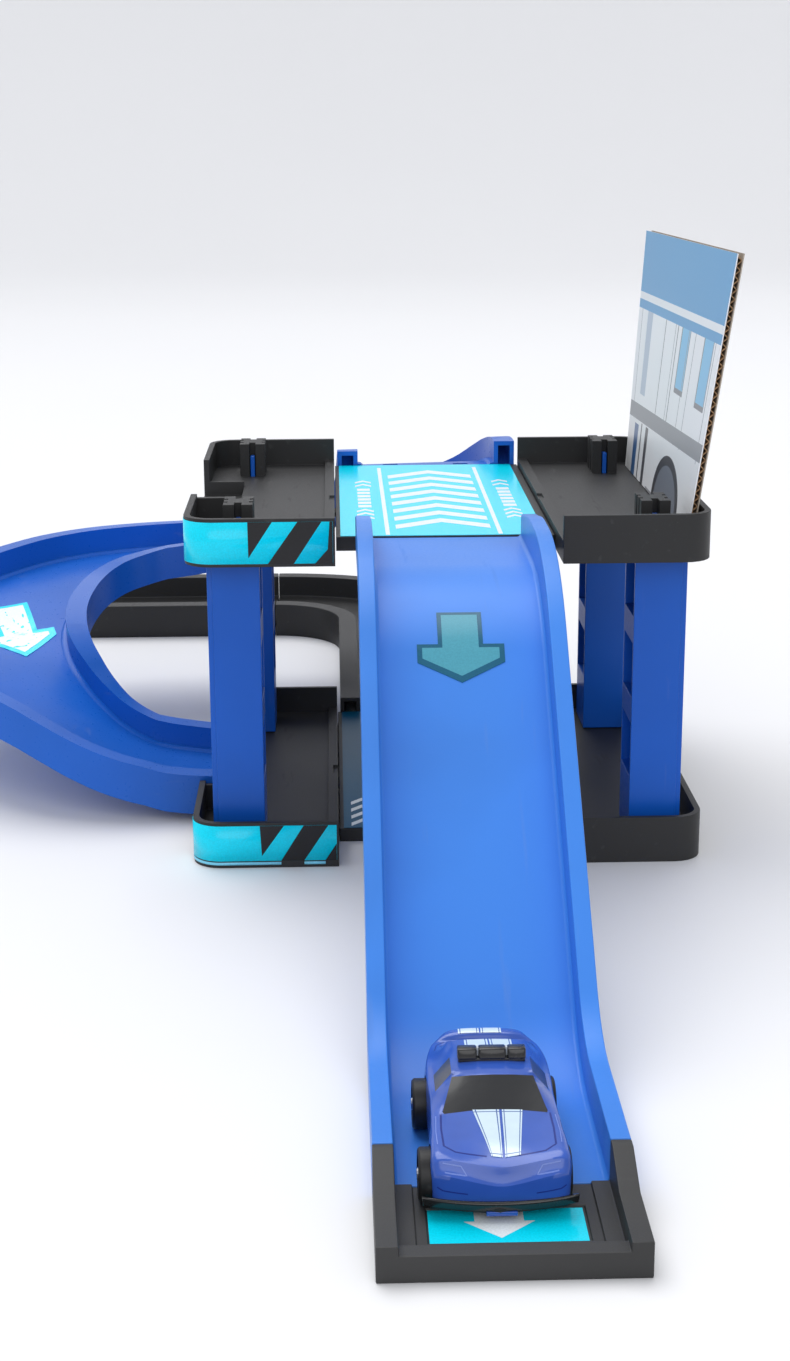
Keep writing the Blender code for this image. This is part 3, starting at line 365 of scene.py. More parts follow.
def smooth_height(knots, distance):
    """Height between knots, by a curve that never overshoots them."""
    distance = min(max(distance, knots[0][0]), knots[-1][0])
    slopes = [(b[1] - a[1]) / (b[0] - a[0]) for a, b in zip(knots, knots[1:])]
    index = 0
    while index < len(slopes) - 1 and distance > knots[index + 1][0]:
        index += 1

    def lean(place):
        if place == 0 or place == len(slopes):
            return 0.0
        before, after = slopes[place - 1], slopes[place]
        return 2.0 * before * after / (before + after) if before * after > 0 else 0.0

    (x0, y0), (x1, y1) = knots[index], knots[index + 1]
    width = x1 - x0
    t = (distance - x0) / width
    first = y0 * (1 + 2 * t) * (1 - t) ** 2 + lean(index) * width * t * (1 - t) ** 2
    return first + y1 * t * t * (3 - 2 * t) + lean(index + 1) * width * t * t * (t - 1)


def route_stations():
    """Plan stations of the route: place, heading and distance travelled."""
    stations = [(0.0, ROUTE_START_Y, math.radians(90.0), 0.0)]
    moves = [
        (ROUTE_RUN_IN, 0.0),
        (ROUTE_FIRST_RADIUS * math.radians(90.0), 90.0),
        (ROUTE_MAIN_X - ROUTE_FIRST_RADIUS, 0.0),
        (ROUTE_MAIN_RADIUS * math.radians(180.0), 180.0),
        (ROUTE_MAIN_X + ROUTE_END_X, 0.0),
    ]
    for length, turn in moves:
        count = max(2, round(length / 2.4))
        for _ in range(count):
            x, y, heading, travelled = stations[-1]
            step = length / count
            after = heading + math.radians(turn) / count
            middle = (heading + after) / 2
            chord = step
            if turn:
                chord = 2 * length / math.radians(turn) * math.sin(math.radians(turn) / count / 2)
            stations.append((x + chord * math.cos(middle), y + chord * math.sin(middle), after, travelled + step))
    return stations


def channel_section(left_wall, right_wall):
    """Closed section of the channel as (across, up) points, with its rims open underneath."""
    inner = CHANNEL_HALF - CHANNEL_RIM
    sides = []
    for wall in (left_wall, right_wall):
        outside = [
            (CHANNEL_HALF - CHANNEL_SKIN, -CHANNEL_SKIRT),
            (CHANNEL_HALF, -CHANNEL_SKIRT),
            (CHANNEL_HALF, wall),
            (inner, wall),
            (inner, CURB_RISE),
            (inner - CURB_WIDTH * 0.55, CURB_RISE * 0.85),
            (inner - CURB_WIDTH, 0.0),
        ]
        top = wall - CHANNEL_SKIN
        hollow = [(inner + CHANNEL_SKIN, -CHANNEL_SKIN), (inner + CHANNEL_SKIN, top), (CHANNEL_HALF - CHANNEL_SKIN, top)]
        sides.append((outside, hollow))
    (left, left_hollow), (right, right_hollow) = sides
    section = right + [(-a, b) for a, b in reversed(left)]
    return section + [(-a, b) for a, b in reversed(left_hollow)] + right_hollow


def winding_track():
    stations = route_stations()
    count = len(channel_section(1.0, 1.0))
    bpy.ops.object.select_all(action="DESELECT")
    bpy.ops.mesh.primitive_grid_add(x_subdivisions=count, y_subdivisions=len(stations) - 1, size=1.0)
    track = bpy.context.active_object
    track.name = "winding_track_moulded"
    for vertex in track.data.vertices:
        column = round((vertex.co.x + 0.5) * count) % count
        row = round((vertex.co.y + 0.5) * (len(stations) - 1))
        x, y, heading, distance = stations[row]
        part = min(1.0, distance / 60.0)
        part = part * part * (3 - 2 * part)
        section = channel_section(5.7 + 3.0 * part, 9.0 + 1.0 * part)
        across, up = section[column]
        left = smooth_height(LEFT_HEIGHTS, distance)
        right = smooth_height(RIGHT_HEIGHTS, distance)
        floor = left + (right - left) * (across + CHANNEL_HALF) / (2 * CHANNEL_HALF)
        vertex.co = Vector((x + math.sin(heading) * across, y - math.cos(heading) * across, floor + up)) * MM
    merge_points(track)
    close_ends(track)
    for place, size in track_slots():
        cutter = slot_cutter(place, size)
        apply_modifier(track, "BOOLEAN", operation="DIFFERENCE", solver="EXACT", object=cutter)
        bpy.data.objects.remove(cutter, do_unlink=True)
    round_edges(track, 0.45)
    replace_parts(track, "winding_track")
    return dress(track, "garage", track_plastic)


def track_slots():
    """Latch slots through the floor at the track's two ends: place and size."""
    slots = []
    for x in (-13.2, 13.2):
        slots.append(((x, ROUTE_START_Y + 4.4, 99.0), (5.6, 2.6, 8.0)))
    for y in (-15.0, 11.4):
        slots.append(((ROUTE_END_X - 4.4, y, 5.0), (2.6, 5.6, 8.0)))
    return slots


def slot_cutter(place, size):
    bpy.ops.object.select_all(action="DESELECT")
    bpy.ops.mesh.primitive_cube_add(size=1.0, location=Vector(place) * MM)
    cutter = bpy.context.active_object
    cutter.scale = Vector(size) * MM
    bpy.ops.object.transform_apply(location=True, rotation=True, scale=True)
    return cutter


winding = winding_track()


# Stickers: film cut to an outline, with the print laid on it

SHEET_MERGE = 0.0005 * MM
LAID_FROM_Z = 220.0

def flat_sheet(name, outlines, place, thickness=0.0):
    """Flat mesh cut to closed outlines in millimetres, laid by a matrix in metres."""
    curve = bpy.data.curves.new(name, "CURVE")
    curve.dimensions = "2D"
    curve.fill_mode = "BOTH"
    curve.extrude = thickness * MM / 2
    for outline in outlines:
        spline = curve.splines.new("POLY")
        spline.points.add(len(outline) - 1)
        for point, (x, y) in zip(spline.points, outline):
            point.co = (x * MM, y * MM, 0.0, 1.0)
        spline.use_cyclic_u = True
    sheet = bpy.data.objects.new(name, curve)
    bpy.context.collection.objects.link(sheet)
    only(sheet)
    bpy.ops.object.convert(target="MESH")
    sheet = bpy.context.view_layer.objects.active
    sheet.matrix_world = place
    bpy.ops.object.transform_apply(location=True, rotation=True, scale=True)
    merge_points(sheet, SHEET_MERGE)
    return sheet


def cut_sheet(name, outlines, thickness, place, finish, body="garage"):
    """Sticker film or ink of its own thickness."""
    sheet = flat_sheet(name, outlines, place, thickness)
    face_outwards(sheet)
    return dress(sheet, body, finish)


def lay_on(patch, target, axis, lift, thickness):
    """Wrap a flat piece onto a target from above or from in front, and give it thickness."""
    modifier = {
        "target": target,
        "wrap_method": "PROJECT",
        "use_project_x": axis == "X",
        "use_project_y": axis == "Y",
        "use_project_z": axis == "Z",
        "use_negative_direction": axis != "Y",
        "use_positive_direction": axis == "Y",
        "offset": lift * MM,
    }
    apply_modifier(patch, "SHRINKWRAP", **modifier)
    apply_modifier(patch, "SOLIDIFY", thickness=thickness * MM, offset=1.0)
    merge_points(patch, SHEET_MERGE)
    face_outwards(patch)
    smooth_by_angle(patch)


def laid_sheet(name, outline, spot, turn, target, finish, lift, thickness):
    """Sheet cut to an outline, turned in plan and laid from above on a curved piece."""
    above = Matrix.Translation(Vector((spot[0], spot[1], LAID_FROM_Z)) * MM)
    sheet = flat_sheet(name, [outline], above @ Matrix.Rotation(math.radians(turn), 4, "Z"))
    bpy.ops.object.mode_set(mode="EDIT")
    bpy.ops.mesh.select_all(action="SELECT")
    bpy.ops.mesh.quads_convert_to_tris()
    bpy.ops.mesh.subdivide(number_cuts=7)
    bpy.ops.object.mode_set(mode="OBJECT")
    lay_on(sheet, target, "Z", lift, thickness)
    return dress(sheet, "garage", finish)


def rectangle(x0, x1, y0, y1):
    return [(x0, y0), (x1, y0), (x1, y1), (x0, y1)]


def chevron(x, y, half, rise, thick):
    """Chevron whose point is towards +y; y is the place of its arms' ends."""
    return [
        (x - half, y),
        (x, y + rise),
        (x + half, y),
        (x + half, y + thick),
        (x, y + rise + thick),
        (x - half, y + thick),
    ]


FILM = 0.16
INK = 0.05
SEAT = 0.02


def lane_sticker(base, name, film, outline, print_shapes):
    """Film on a lane with its white print."""
    top = base + LANE_TOP + FILM / 2 + SEAT
    cut_sheet(f"{name}_film", [outline], FILM, Matrix.Translation((0.0, 0.0, top * MM)), film)
    ink = top + FILM / 2 + INK / 2
    cut_sheet(f"{name}_print", print_shapes, INK, Matrix.Translation((0.0, 0.0, ink * MM)), white_ink)


def lane_print():
    shapes = []
    for index in range(8):
        shapes.append(chevron(0.0, FRONT_Y + 34.0 + 13.4 * index, 15.0, 10.6, 6.4))
    for x in (-17.8, 17.4):
        shapes.append(rectangle(x - 0.65, x + 0.65, FRONT_Y + 24.5, FRONT_Y + 151.0))
    for x in (-24.2, 24.4):
        for y in (50.4, 56.6, 62.8, 111.0, 118.0):
            shapes.append(chevron(x, FRONT_Y + y, 2.8, 3.4, 2.6))
        for index in range(6):
            y = FRONT_Y + 71.5 + 6.3 * index
            shapes.append(rectangle(x - 2.2, x + 2.2, y, y + 4.2))
    return shapes


lane_outline = rectangle(-32.6, 31.4, LANE_FRONT_Y + 0.7, 78.5)
lane_sticker(LEVEL_RISE, "upper_lane_sticker", cyan_film, lane_outline, lane_print())
lower_print = [chevron(x, FRONT_Y + y, 3.6, 4.0, 3.0) for x in (-26.5, 26.5) for y in (25.0, 32.0, 39.0, 46.0)]
lower_print += [rectangle(x - 0.65, x + 0.65, FRONT_Y + 24.5, FRONT_Y + 151.0) for x in (-17.8, 17.4)]
# The lower lane's film is the darker copy of the cyan, painted shade under the upper deck
lane_sticker(0.0, "lower_lane_sticker", cyan_film_painted_shade, lane_outline, lower_print)


def wrapped_outline(end_x, offset_in, offset_out, side_length):
    """Plan of a strip along a left tray's front wall and round its outer corner."""
    outline = []
    cx = -TRAY_OUTER_X + TRAY_CORNER
    cy = FRONT_Y + TRAY_CORNER
    for offset, backwards in ((offset_out, False), (offset_in, True)):
        radius = TRAY_CORNER + offset
        path = [(end_x, FRONT_Y - offset)]
        for step in range(13):
            angle = math.radians(270.0 - 90.0 * step / 12)
            path.append((cx + radius * math.cos(angle), cy + radius * math.sin(angle)))
        path.append((-TRAY_OUTER_X - offset, cy + side_length))
        outline += reversed(path) if backwards else path
    return outline


def upright(y):
    """Matrix that stands a sheet up, its outline's y axis along +Z, at a place along Y."""
    return Matrix.Translation((0.0, y * MM, 0.0)) @ Matrix.Rotation(math.radians(90.0), 4, "X")


def tray_sticker(name, low, high, shapes, lines):
    """Cyan strip round a left tray's front, with black shapes on it and a thin line below."""
    middle = Matrix.Translation((0.0, 0.0, (low + high) / 2 * MM))
    strip = wrapped_outline(STRIP_END_X, 0.02, FILM, 3.5)
    cut_sheet(f"{name}_film", [strip], high - low, middle, cyan_film)
    cut_sheet(f"{name}_stripes", shapes, INK, upright(FRONT_Y - FILM - INK / 2), black_ink)
    for index, (start, end) in enumerate(lines):
        band = wrapped_outline(end, 0.02, FILM, 3.0)
        if start is not None:
            band = rectangle(start, end, FRONT_Y - FILM, FRONT_Y - 0.02)
        cut_sheet(f"{name}_line_{index}", [band], 0.9, Matrix.Translation((0.0, 0.0, (low - 0.85) * MM)), sky_ink)


STRIP_END_X = -34.95
upper_low = LEVEL_RISE + 1.0
upper_high = LEVEL_RISE + 13.7
upper_shapes = [
    [(-60.3, upper_low + 1.8), (-53.1, upper_high), (-60.4, upper_high)],
    [(-54.5, upper_low), (-46.7, upper_low), (-38.3, upper_high), (-45.5, upper_high)],
    [(-40.3, upper_low), (-35.0, upper_low), (-35.0, upper_high), (-35.9, upper_high), (-36.5, upper_low + 4.3)],
]
tray_sticker("upper_tray_sticker", upper_low, upper_high, upper_shapes, [])
lower_low = 2.3
lower_high = 13.8
lower_shapes = [
    [(-58.3, lower_low + 1.6), (-51.3, lower_high), (-58.8, lower_high)],
    [(-52.3, lower_low), (-45.1, lower_low), (-37.5, lower_high), (-45.2, lower_high)],
    [(-38.5, lower_low), (-35.0, lower_low), (-35.0, lower_low + 5.4)],
]
tray_sticker("lower_tray_sticker", lower_low, lower_high, lower_shapes, [(None, -52.3), (-45.1, -38.5)])

# Arrow on the stop's panel, pointing at the end of the run
panel = Matrix.Translation((0.0, 0.0, (STOP_PANEL_Z + FILM / 2 + 0.02) * MM))
panel_front = FRONT_Y - 225.9
panel_back = FRONT_Y - 212.5
cut_sheet("stop_sticker_film", [rectangle(-16.6, 16.4, panel_front, panel_back)], FILM, panel, cyan_film)
tip = FRONT_Y - 224.0
arrow = [
    (-1.6, tip),
    (5.9, tip + 6.6),
    (3.6, tip + 6.6),
    (3.6, panel_back - 0.1),
    (-6.8, panel_back - 0.1),
    (-6.8, tip + 6.6),
    (-9.1, tip + 6.6),
]
ink_place = Matrix.Translation((0.0, 0.0, (STOP_PANEL_Z + FILM + 0.02 + INK / 2) * MM))
cut_sheet("stop_sticker_arrow", [arrow], INK, ink_place, white_ink)

# Arrow part way down the slide
slide_arrow = [
    (0.0, 0.0), (12.0, 4.9), (12.0, 9.4), (6.2, 9.4), (6.2, 19.0),
    (-6.2, 19.0), (-6.2, 9.4), (-12.0, 9.4), (-12.0, 4.9),
]
slide_arrow_inner = [
    (0.0, 1.5), (10.6, 5.8), (10.6, 8.4), (5.0, 8.4), (5.0, 18.0),
    (-5.0, 18.0), (-5.0, 8.4), (-10.6, 8.4), (-10.6, 5.8),
]
slide_spot = (-0.2, FRONT_Y - 66.3)
laid_sheet("slide_arrow_film", slide_arrow, slide_spot, 0.0, slide, dark_teal_ink, 0.03, FILM)
laid_sheet("slide_arrow_print", slide_arrow_inner, slide_spot, 0.0, slide, teal_ink, 0.03 + FILM, INK)

# Arrow on the winding track's floor, along its run
track_arrow = [
    (0.0, -21.0), (13.5, -9.0), (13.5, -4.2), (7.2, -4.2), (7.8, 19.0),
    (-7.8, 19.0), (-7.2, -4.2), (-13.5, -4.2), (-13.5, -9.0),
]
track_arrow_inner = [
    (0.0, -18.2), (11.0, -8.4), (11.0, -6.4), (5.2, -6.4), (5.8, 17.0),
    (-5.8, 17.0), (-5.2, -6.4), (-11.0, -6.4), (-11.0, -8.4),
]
track_spot = (-153.5, 62.0)
laid_sheet("track_arrow_film", track_arrow, track_spot, 18.0, winding, cyan_film, 0.03, FILM)
laid_sheet("track_arrow_print", track_arrow_inner, track_spot, 18.0, winding, white_ink, 0.03 + FILM, INK)


# Card: two printed liners on a fluted core

CARD_FRONT_Y = -67.0
CARD_LENGTH = 134.0
CARD_BASE_Z = 101.3
CARD_HEIGHT = 85.0
CARD_FACE_X = 73.31
CARD_FRONT_LEAN = 12.4
CARD_REAR_LEAN = 5.5
CARD_THICKNESS = 2.2
LINER = 0.35


def card_point(along, up, into):
    """Place on the card: along from the rear edge, up from its foot, into its thickness."""
    lean = CARD_REAR_LEAN + (CARD_FRONT_LEAN - CARD_REAR_LEAN) * along
    x = CARD_FACE_X + into + lean * up
    y = CARD_FRONT_Y + CARD_LENGTH * (1.0 - along)
    return Vector((x, y, CARD_BASE_Z + CARD_HEIGHT * up)) * MM


def print_boxes(tree, base, shapes):
    """Paint rectangles (left, right, bottom, top, slope, colour) in UV space over a base."""
    coords = tree.nodes.new("ShaderNodeUVMap")
    split = tree.nodes.new("ShaderNodeSeparateXYZ")
    tree.links.new(coords.outputs["UV"], split.inputs[0])
    u = split.outputs[0]
    v = split.outputs[1]
    for left, right, bottom, top, slope_up, colour in shapes:
        raised = maths(tree, "SUBTRACT", v, maths(tree, "MULTIPLY", u, slope_up))
        inside = maths(tree, "GREATER_THAN", u, left)
        limits = (("LESS_THAN", u, right), ("GREATER_THAN", raised, bottom), ("LESS_THAN", raised, top))
        for operation, value, limit in limits:
            inside = maths(tree, "MULTIPLY", inside, maths(tree, operation, value, limit))
        base = mix_colours(tree, inside, base, (*colour, 1.0))
    return base, u, v


def card_print():
    finish, tree, shader = new_finish("card_printed_face", 0.38)
    wall = mix_colours(tree, noise(tree, 25.0, 3.0), (0.80, 0.81, 0.83, 1.0), (0.86, 0.87, 0.88, 1.0))
    header = (0.100, 0.340, 0.600)
    grey = (0.30, 0.31, 0.33)
    glass = (0.215, 0.520, 0.760)
    line = (0.22, 0.22, 0.24)
    shapes = [
        (0.0, 1.0, 0.683, 1.0, 0.0, header),
        (0.0, 1.0, 0.720, 0.750, 0.0, (0.80, 0.82, 0.84)),
        (0.577, 0.681, 0.435, 0.683, 0.0, line),
        (0.585, 0.675, 0.455, 0.683, 0.0, glass),
        (0.832, 0.936, 0.430, 0.683, 0.0, line),
        (0.840, 0.930, 0.450, 0.683, 0.0, glass),
        (0.13, 0.20, 0.340, 0.683, 0.0, (0.46, 0.53, 0.63)),
        (0.375, 0.382, 0.290, 0.683, 0.0, line),
        (0.500, 0.505, 0.260, 0.683, 0.0, grey),
        (0.528, 0.536, 0.260, 0.683, 0.0, line),
        (0.660, 0.665, 0.250, 0.683, 0.0, grey),
        (0.735, 0.740, 0.250, 0.683, 0.0, grey),
        (0.950, 0.955, 0.250, 0.683, 0.0, grey),
        (0.05, 0.055, 0.250, 0.683, 0.0, grey),
        (0.0, 1.0, 0.225, 0.290, 0.04, (0.27, 0.28, 0.30)),
        (0.20, 0.215, -0.10, 0.225, 0.02, (0.10, 0.10, 0.12)),
        (0.27, 0.31, -0.10, 0.225, 0.02, (0.08, 0.08, 0.09)),
        (0.10, 0.16, -0.10, 0.210, 0.02, (0.05, 0.13, 0.30)),
        (0.36, 1.0, -0.10, 0.010, 0.0, (0.30, 0.31, 0.33)),
    ]
    base, u, v = print_boxes(tree, wall, shapes)
    across = maths(tree, "DIVIDE", maths(tree, "SUBTRACT", u, 0.65), 0.19)
    rise = maths(tree, "DIVIDE", maths(tree, "SUBTRACT", v, 0.0), 0.200)
    around = maths(tree, "ADD", maths(tree, "MULTIPLY", across, across), maths(tree, "MULTIPLY", rise, rise))
    base = mix_colours(tree, maths(tree, "LESS_THAN", around, 1.0), base, (0.035, 0.036, 0.045, 1.0))
    base = mix_colours(tree, maths(tree, "LESS_THAN", around, 0.66), base, (0.16, 0.18, 0.22, 1.0))
    feed(tree, shader.inputs["Base Color"], base)
    relief(tree, shader, noise(tree, 0.35, 2.0), 0.01)
    return finish


def kraft_board(name, colour):
    finish, tree, shader = new_finish(name, 0.85)
    fibres = noise(tree, 0.5, 5.0, (1.0, 0.2, 1.0))
    feed(tree, shader.inputs["Base Color"], mix_colours(tree, fibres, shade(colour, 0.6), shade(colour, 1.35)))
    relief(tree, shader, fibres, 0.05)
    return finish


def card_liner(name, into, finish):
    """One liner of the card, bowed with the lean of its two ends."""
    columns, rows = 24, 16
    bpy.ops.object.select_all(action="DESELECT")
    bpy.ops.mesh.primitive_grid_add(x_subdivisions=columns, y_subdivisions=rows, size=1.0)
    liner = bpy.context.active_object
    liner.name = name
    layer = liner.data.uv_layers[0]
    for loop in liner.data.loops:
        corner = liner.data.vertices[loop.vertex_index].co
        layer.data[loop.index].uv = (corner.x + 0.5, corner.y + 0.5)
    for vertex in liner.data.vertices:
        along, up = vertex.co.x + 0.5, vertex.co.y + 0.5
        vertex.co = card_point(along, up, into)
    apply_modifier(liner, "SOLIDIFY", thickness=LINER * MM, offset=0.0)
    return dress(liner, "backdrop", finish)


def card_flutes(finish):
    """Wavy core whose waves show at the card's front and rear edges."""
    waves = 30
    bpy.ops.object.select_all(action="DESELECT")
    bpy.ops.mesh.primitive_grid_add(x_subdivisions=6, y_subdivisions=waves * 6, size=1.0)
    core = bpy.context.active_object
    core.name = "card_fluted_core"
    depth = (CARD_THICKNESS - 2 * LINER) / 2 - 0.12
    for vertex in core.data.vertices:
        along = (vertex.co.x + 0.5) * 0.992 + 0.004
        up = (vertex.co.y + 0.5) * 0.99 + 0.005
        wave = depth * math.sin(2.0 * math.pi * waves * up)
        vertex.co = card_point(along, up, CARD_THICKNESS / 2 + wave)
    apply_modifier(core, "SOLIDIFY", thickness=0.3 * MM, offset=0.0)
    smooth_by_angle(core)
    return dress(core, "backdrop", finish)


kraft_back = kraft_board("card_grey_back", (0.42, 0.36, 0.29))
kraft_core = kraft_board("card_brown_core", (0.34, 0.20, 0.10))
face = card_liner("card_printed_liner", LINER / 2, card_print())
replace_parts(face, "backdrop_card")
card_liner("card_back_liner", CARD_THICKNESS - LINER / 2, kraft_back)
card_flutes(kraft_core)


# Car

SHELL_X = CAR_X + 0.5
SHELL_WALL = 0.9
WINDOW_WALL = 0.7
WHEEL_PLACES = (8.6, 40.8)
WHEEL_HEIGHT = 8.5
ARCH_RADIUS = 6.3
ABOVE_CAR = 40.0
BEFORE_NOSE = -20.0

# Rows of the body's cage from the nose's bottom edge, over the roof, to the tail's.
# Each has its points from the sill to the centre line: half width, place behind the nose, height.
NOSE_ROWS = [
    [
        (14.3, 2.2, 5.8), (13.9, 1.5, 5.8), (13.0, 0.9, 5.8), (11.6, 0.6, 5.8),
        (9.6, 0.4, 5.8), (7.0, 0.2, 5.8), (3.6, 0.1, 5.8), (0, 0, 5.8),
    ],
    [
        (14.5, 2.5, 5.8), (14.3, 1.8, 7.4), (13.3, 1.1, 8.0), (11.8, 0.7, 8.0),
        (9.7, 0.4, 7.9), (7.0, 0.2, 7.8), (3.6, 0.1, 7.6), (0, 0, 7.5),
    ],
    [
        (14.6, 3.0, 5.8), (14.7, 2.4, 9.0), (14.3, 1.7, 11.4), (13.0, 1.1, 12.3),
        (10.8, 0.7, 12.1), (8.0, 0.4, 11.5), (4.0, 0.1, 10.6), (0, 0, 9.7),
    ],
    [
        (14.7, 3.3, 5.8), (14.8, 2.8, 9.5), (14.5, 2.3, 12.3), (13.3, 2.1, 13.1),
        (11.1, 1.9, 12.9), (8.1, 1.5, 12.2), (4.0, 1.0, 11.2), (0, 0.8, 10.3),
    ],
    [
        (14.7, 3.8, 5.8), (14.9, 3.4, 10.0), (14.8, 3.0, 13.2), (13.8, 2.9, 14.8),
        (12.0, 2.9, 15.0), (8.6, 2.6, 14.5), (4.2, 2.0, 13.9), (0, 1.6, 13.3),
    ],
    [
        (14.7, 4.6, 5.8), (15.0, 4.4, 10.2), (15.0, 4.2, 13.7), (14.2, 4.3, 15.5),
        (12.4, 4.6, 15.6), (8.8, 4.3, 14.9), (4.4, 3.7, 14.4), (0, 3.2, 14.1),
    ],
]
LOFT_ROWS = [
    (9.5, (14.8, 5.8), (15.1, 9.8), (15.1, 13.6), (14.5, 15.9), (12.7, 16.1), (9.0, 15.3), (4.4, 15.5), (0, 15.6)),
    (15.5, (14.6, 5.8), (14.8, 9.5), (14.7, 13.4), (14.1, 15.9), (12.6, 16.2), (9.6, 15.7), (4.8, 16.0), (0, 16.1)),
    (21.6, (14.3, 5.8), (14.4, 9.0), (14.3, 13.0), (13.9, 15.8), (12.7, 16.5), (11.6, 16.2), (5.4, 16.5), (0, 16.6)),
    (28.8, (14.1, 5.8), (14.2, 9.0), (14.1, 13.0), (13.8, 15.8), (12.6, 16.8), (9.0, 21.0), (4.6, 21.3), (0, 21.4)),
    (30.0, (14.1, 5.8), (14.2, 9.0), (14.1, 13.0), (13.8, 15.8), (12.6, 16.9), (9.0, 21.3), (4.6, 21.6), (0, 21.7)),
    (38.0, (14.2, 5.8), (14.4, 9.2), (14.4, 13.2), (14.0, 15.9), (12.6, 16.9), (9.0, 21.3), (4.6, 21.7), (0, 21.8)),
    (47.2, (14.2, 5.8), (14.5, 9.5), (14.5, 13.6), (14.0, 16.1), (12.6, 17.0), (9.0, 20.8), (4.6, 21.2), (0, 21.3)),
    (53.0, (14.1, 5.8), (14.4, 9.5), (14.4, 13.6), (13.8, 16.2), (12.4, 16.7), (10.2, 17.1), (4.6, 17.3), (0, 17.3)),
    (55.4, (14.0, 5.8), (14.3, 9.5), (14.2, 13.6), (13.5, 16.1), (12.2, 16.6), (10.0, 16.9), (4.6, 17.0), (0, 17.0)),
    (56.3, (13.9, 5.8), (14.2, 9.5), (14.1, 13.6), (13.2, 16.0), (11.8, 17.0), (9.8, 17.9), (4.6, 18.2), (0, 18.2)),
    (57.4, (13.8, 5.8), (14.1, 9.5), (13.9, 13.6), (12.9, 15.8), (11.4, 17.3), (9.6, 18.3), (4.6, 18.6), (0, 18.6)),
    (59.2, (13.5, 5.8), (13.8, 9.5), (13.6, 13.4), (12.6, 15.2), (11.2, 16.9), (9.5, 18.1), (4.6, 18.4), (0, 18.4)),
    (59.9, (13.2, 5.8), (13.4, 9.0), (13.2, 12.4), (12.2, 14.0), (10.8, 15.2), (9.2, 15.9), (4.5, 16.2), (0, 16.2)),
    (59.9, (13.0, 5.8), (13.0, 7.2), (12.6, 8.6), (11.8, 9.4), (10.4, 9.8), (8.8, 10.0), (4.4, 10.0), (0, 10.0)),
    (59.7, (12.8, 5.8), (12.4, 5.8), (11.8, 5.8), (11.0, 5.8), (10.0, 5.8), (8.6, 5.8), (4.3, 5.8), (0, 5.8)),
]
WINDSCREEN_ROW = 8
SIDE_WINDOW_ROWS = (10,)
REAR_WINDOW_ROW = 12


def tail_in(along):
    """How much the body narrows behind its rear wheels."""
    return 1.0 - 0.011 * max(0.0, along - 47.0)


BODY_ROWS = NOSE_ROWS + [[(x * tail_in(along), along, z) for x, z in points] for along, *points in LOFT_ROWS]
BODY_ROWS[WINDSCREEN_ROW] = [(x, along - 1.1 * (x / 12.0) ** 2, z) for x, along, z in BODY_ROWS[WINDSCREEN_ROW]]
ROWS = len(BODY_ROWS)
CENTRE_COLUMN = len(BODY_ROWS[0]) - 1
COLUMNS = 2 * CENTRE_COLUMN + 1
WINDOW_FOOT = 4
ROOF_EDGE = 5
SHOULDER = 3


def car_place(x, along, z):
    """Place on the car from its centre line, its nose and the ground's level."""
    return Vector((SHELL_X + x, CAR_NOSE_Y + along, z)) * MM


def window_face(row, column):
    """Whether the cage's face that starts at this row and column is glass."""
    across = ROOF_EDGE <= column < COLUMNS - 1 - ROOF_EDGE
    if row in (WINDSCREEN_ROW, REAR_WINDOW_ROW):
        return across
    return row in SIDE_WINDOW_ROWS and column in (WINDOW_FOOT, COLUMNS - 1 - ROOF_EDGE)


def body_cage():
    """Grid of the body's rows, its windows marked by a second material and creased edges."""
    bpy.ops.object.select_all(action="DESELECT")
    bpy.ops.mesh.primitive_grid_add(x_subdivisions=COLUMNS - 1, y_subdivisions=ROWS - 1, size=1.0)
    cage = bpy.context.active_object
    cage.name = "car_shell"
    cage.data.materials.append(body_paint)
    cage.data.materials.append(window_black)
    cells = {}
    for vertex in cage.data.vertices:
        column = round((vertex.co.x + 0.5) * (COLUMNS - 1))
        row = round((vertex.co.y + 0.5) * (ROWS - 1))
        side = -1.0 if column <= CENTRE_COLUMN else 1.0
        x, along, z = BODY_ROWS[row][min(column, COLUMNS - 1 - column)]
        cells[vertex.index] = (row, column)
        vertex.co = car_place(side * x, along, z)
    for polygon in cage.data.polygons:
        row = min(cells[index][0] for index in polygon.vertices)
        column = min(cells[index][1] for index in polygon.vertices)
        polygon.material_index = int(window_face(row, column))
    edge_materials = {}
    for polygon in cage.data.polygons:
        for key in polygon.edge_keys:
            edge_materials.setdefault(key, set()).add(polygon.material_index)
    creases = cage.data.attributes.new("crease_edge", "FLOAT", "EDGE")
    corners = cage.data.attributes.new("crease_vert", "FLOAT", "POINT")
    for edge in cage.data.edges:
        ends = [cells[index] for index in edge.vertices]
        rows = {cell[0] for cell in ends}
        value = 0.0
        if edge_materials.get(edge.key, set()) == {0, 1}:
            value = 1.0
            for index in edge.vertices:
                corners.data[index].value = 1.0
        elif rows == {2}:
            value = 0.95
        elif rows in ({4}, {5}):
            value = 0.6
        elif rows in ({11}, {14}, {15}, {17}):
            value = 0.45
        elif {cell[1] for cell in ends} in ({SHOULDER}, {COLUMNS - 1 - SHOULDER}) and min(rows) > 6:
            value = 0.5
        creases.data[edge.index].value = value
    return cage


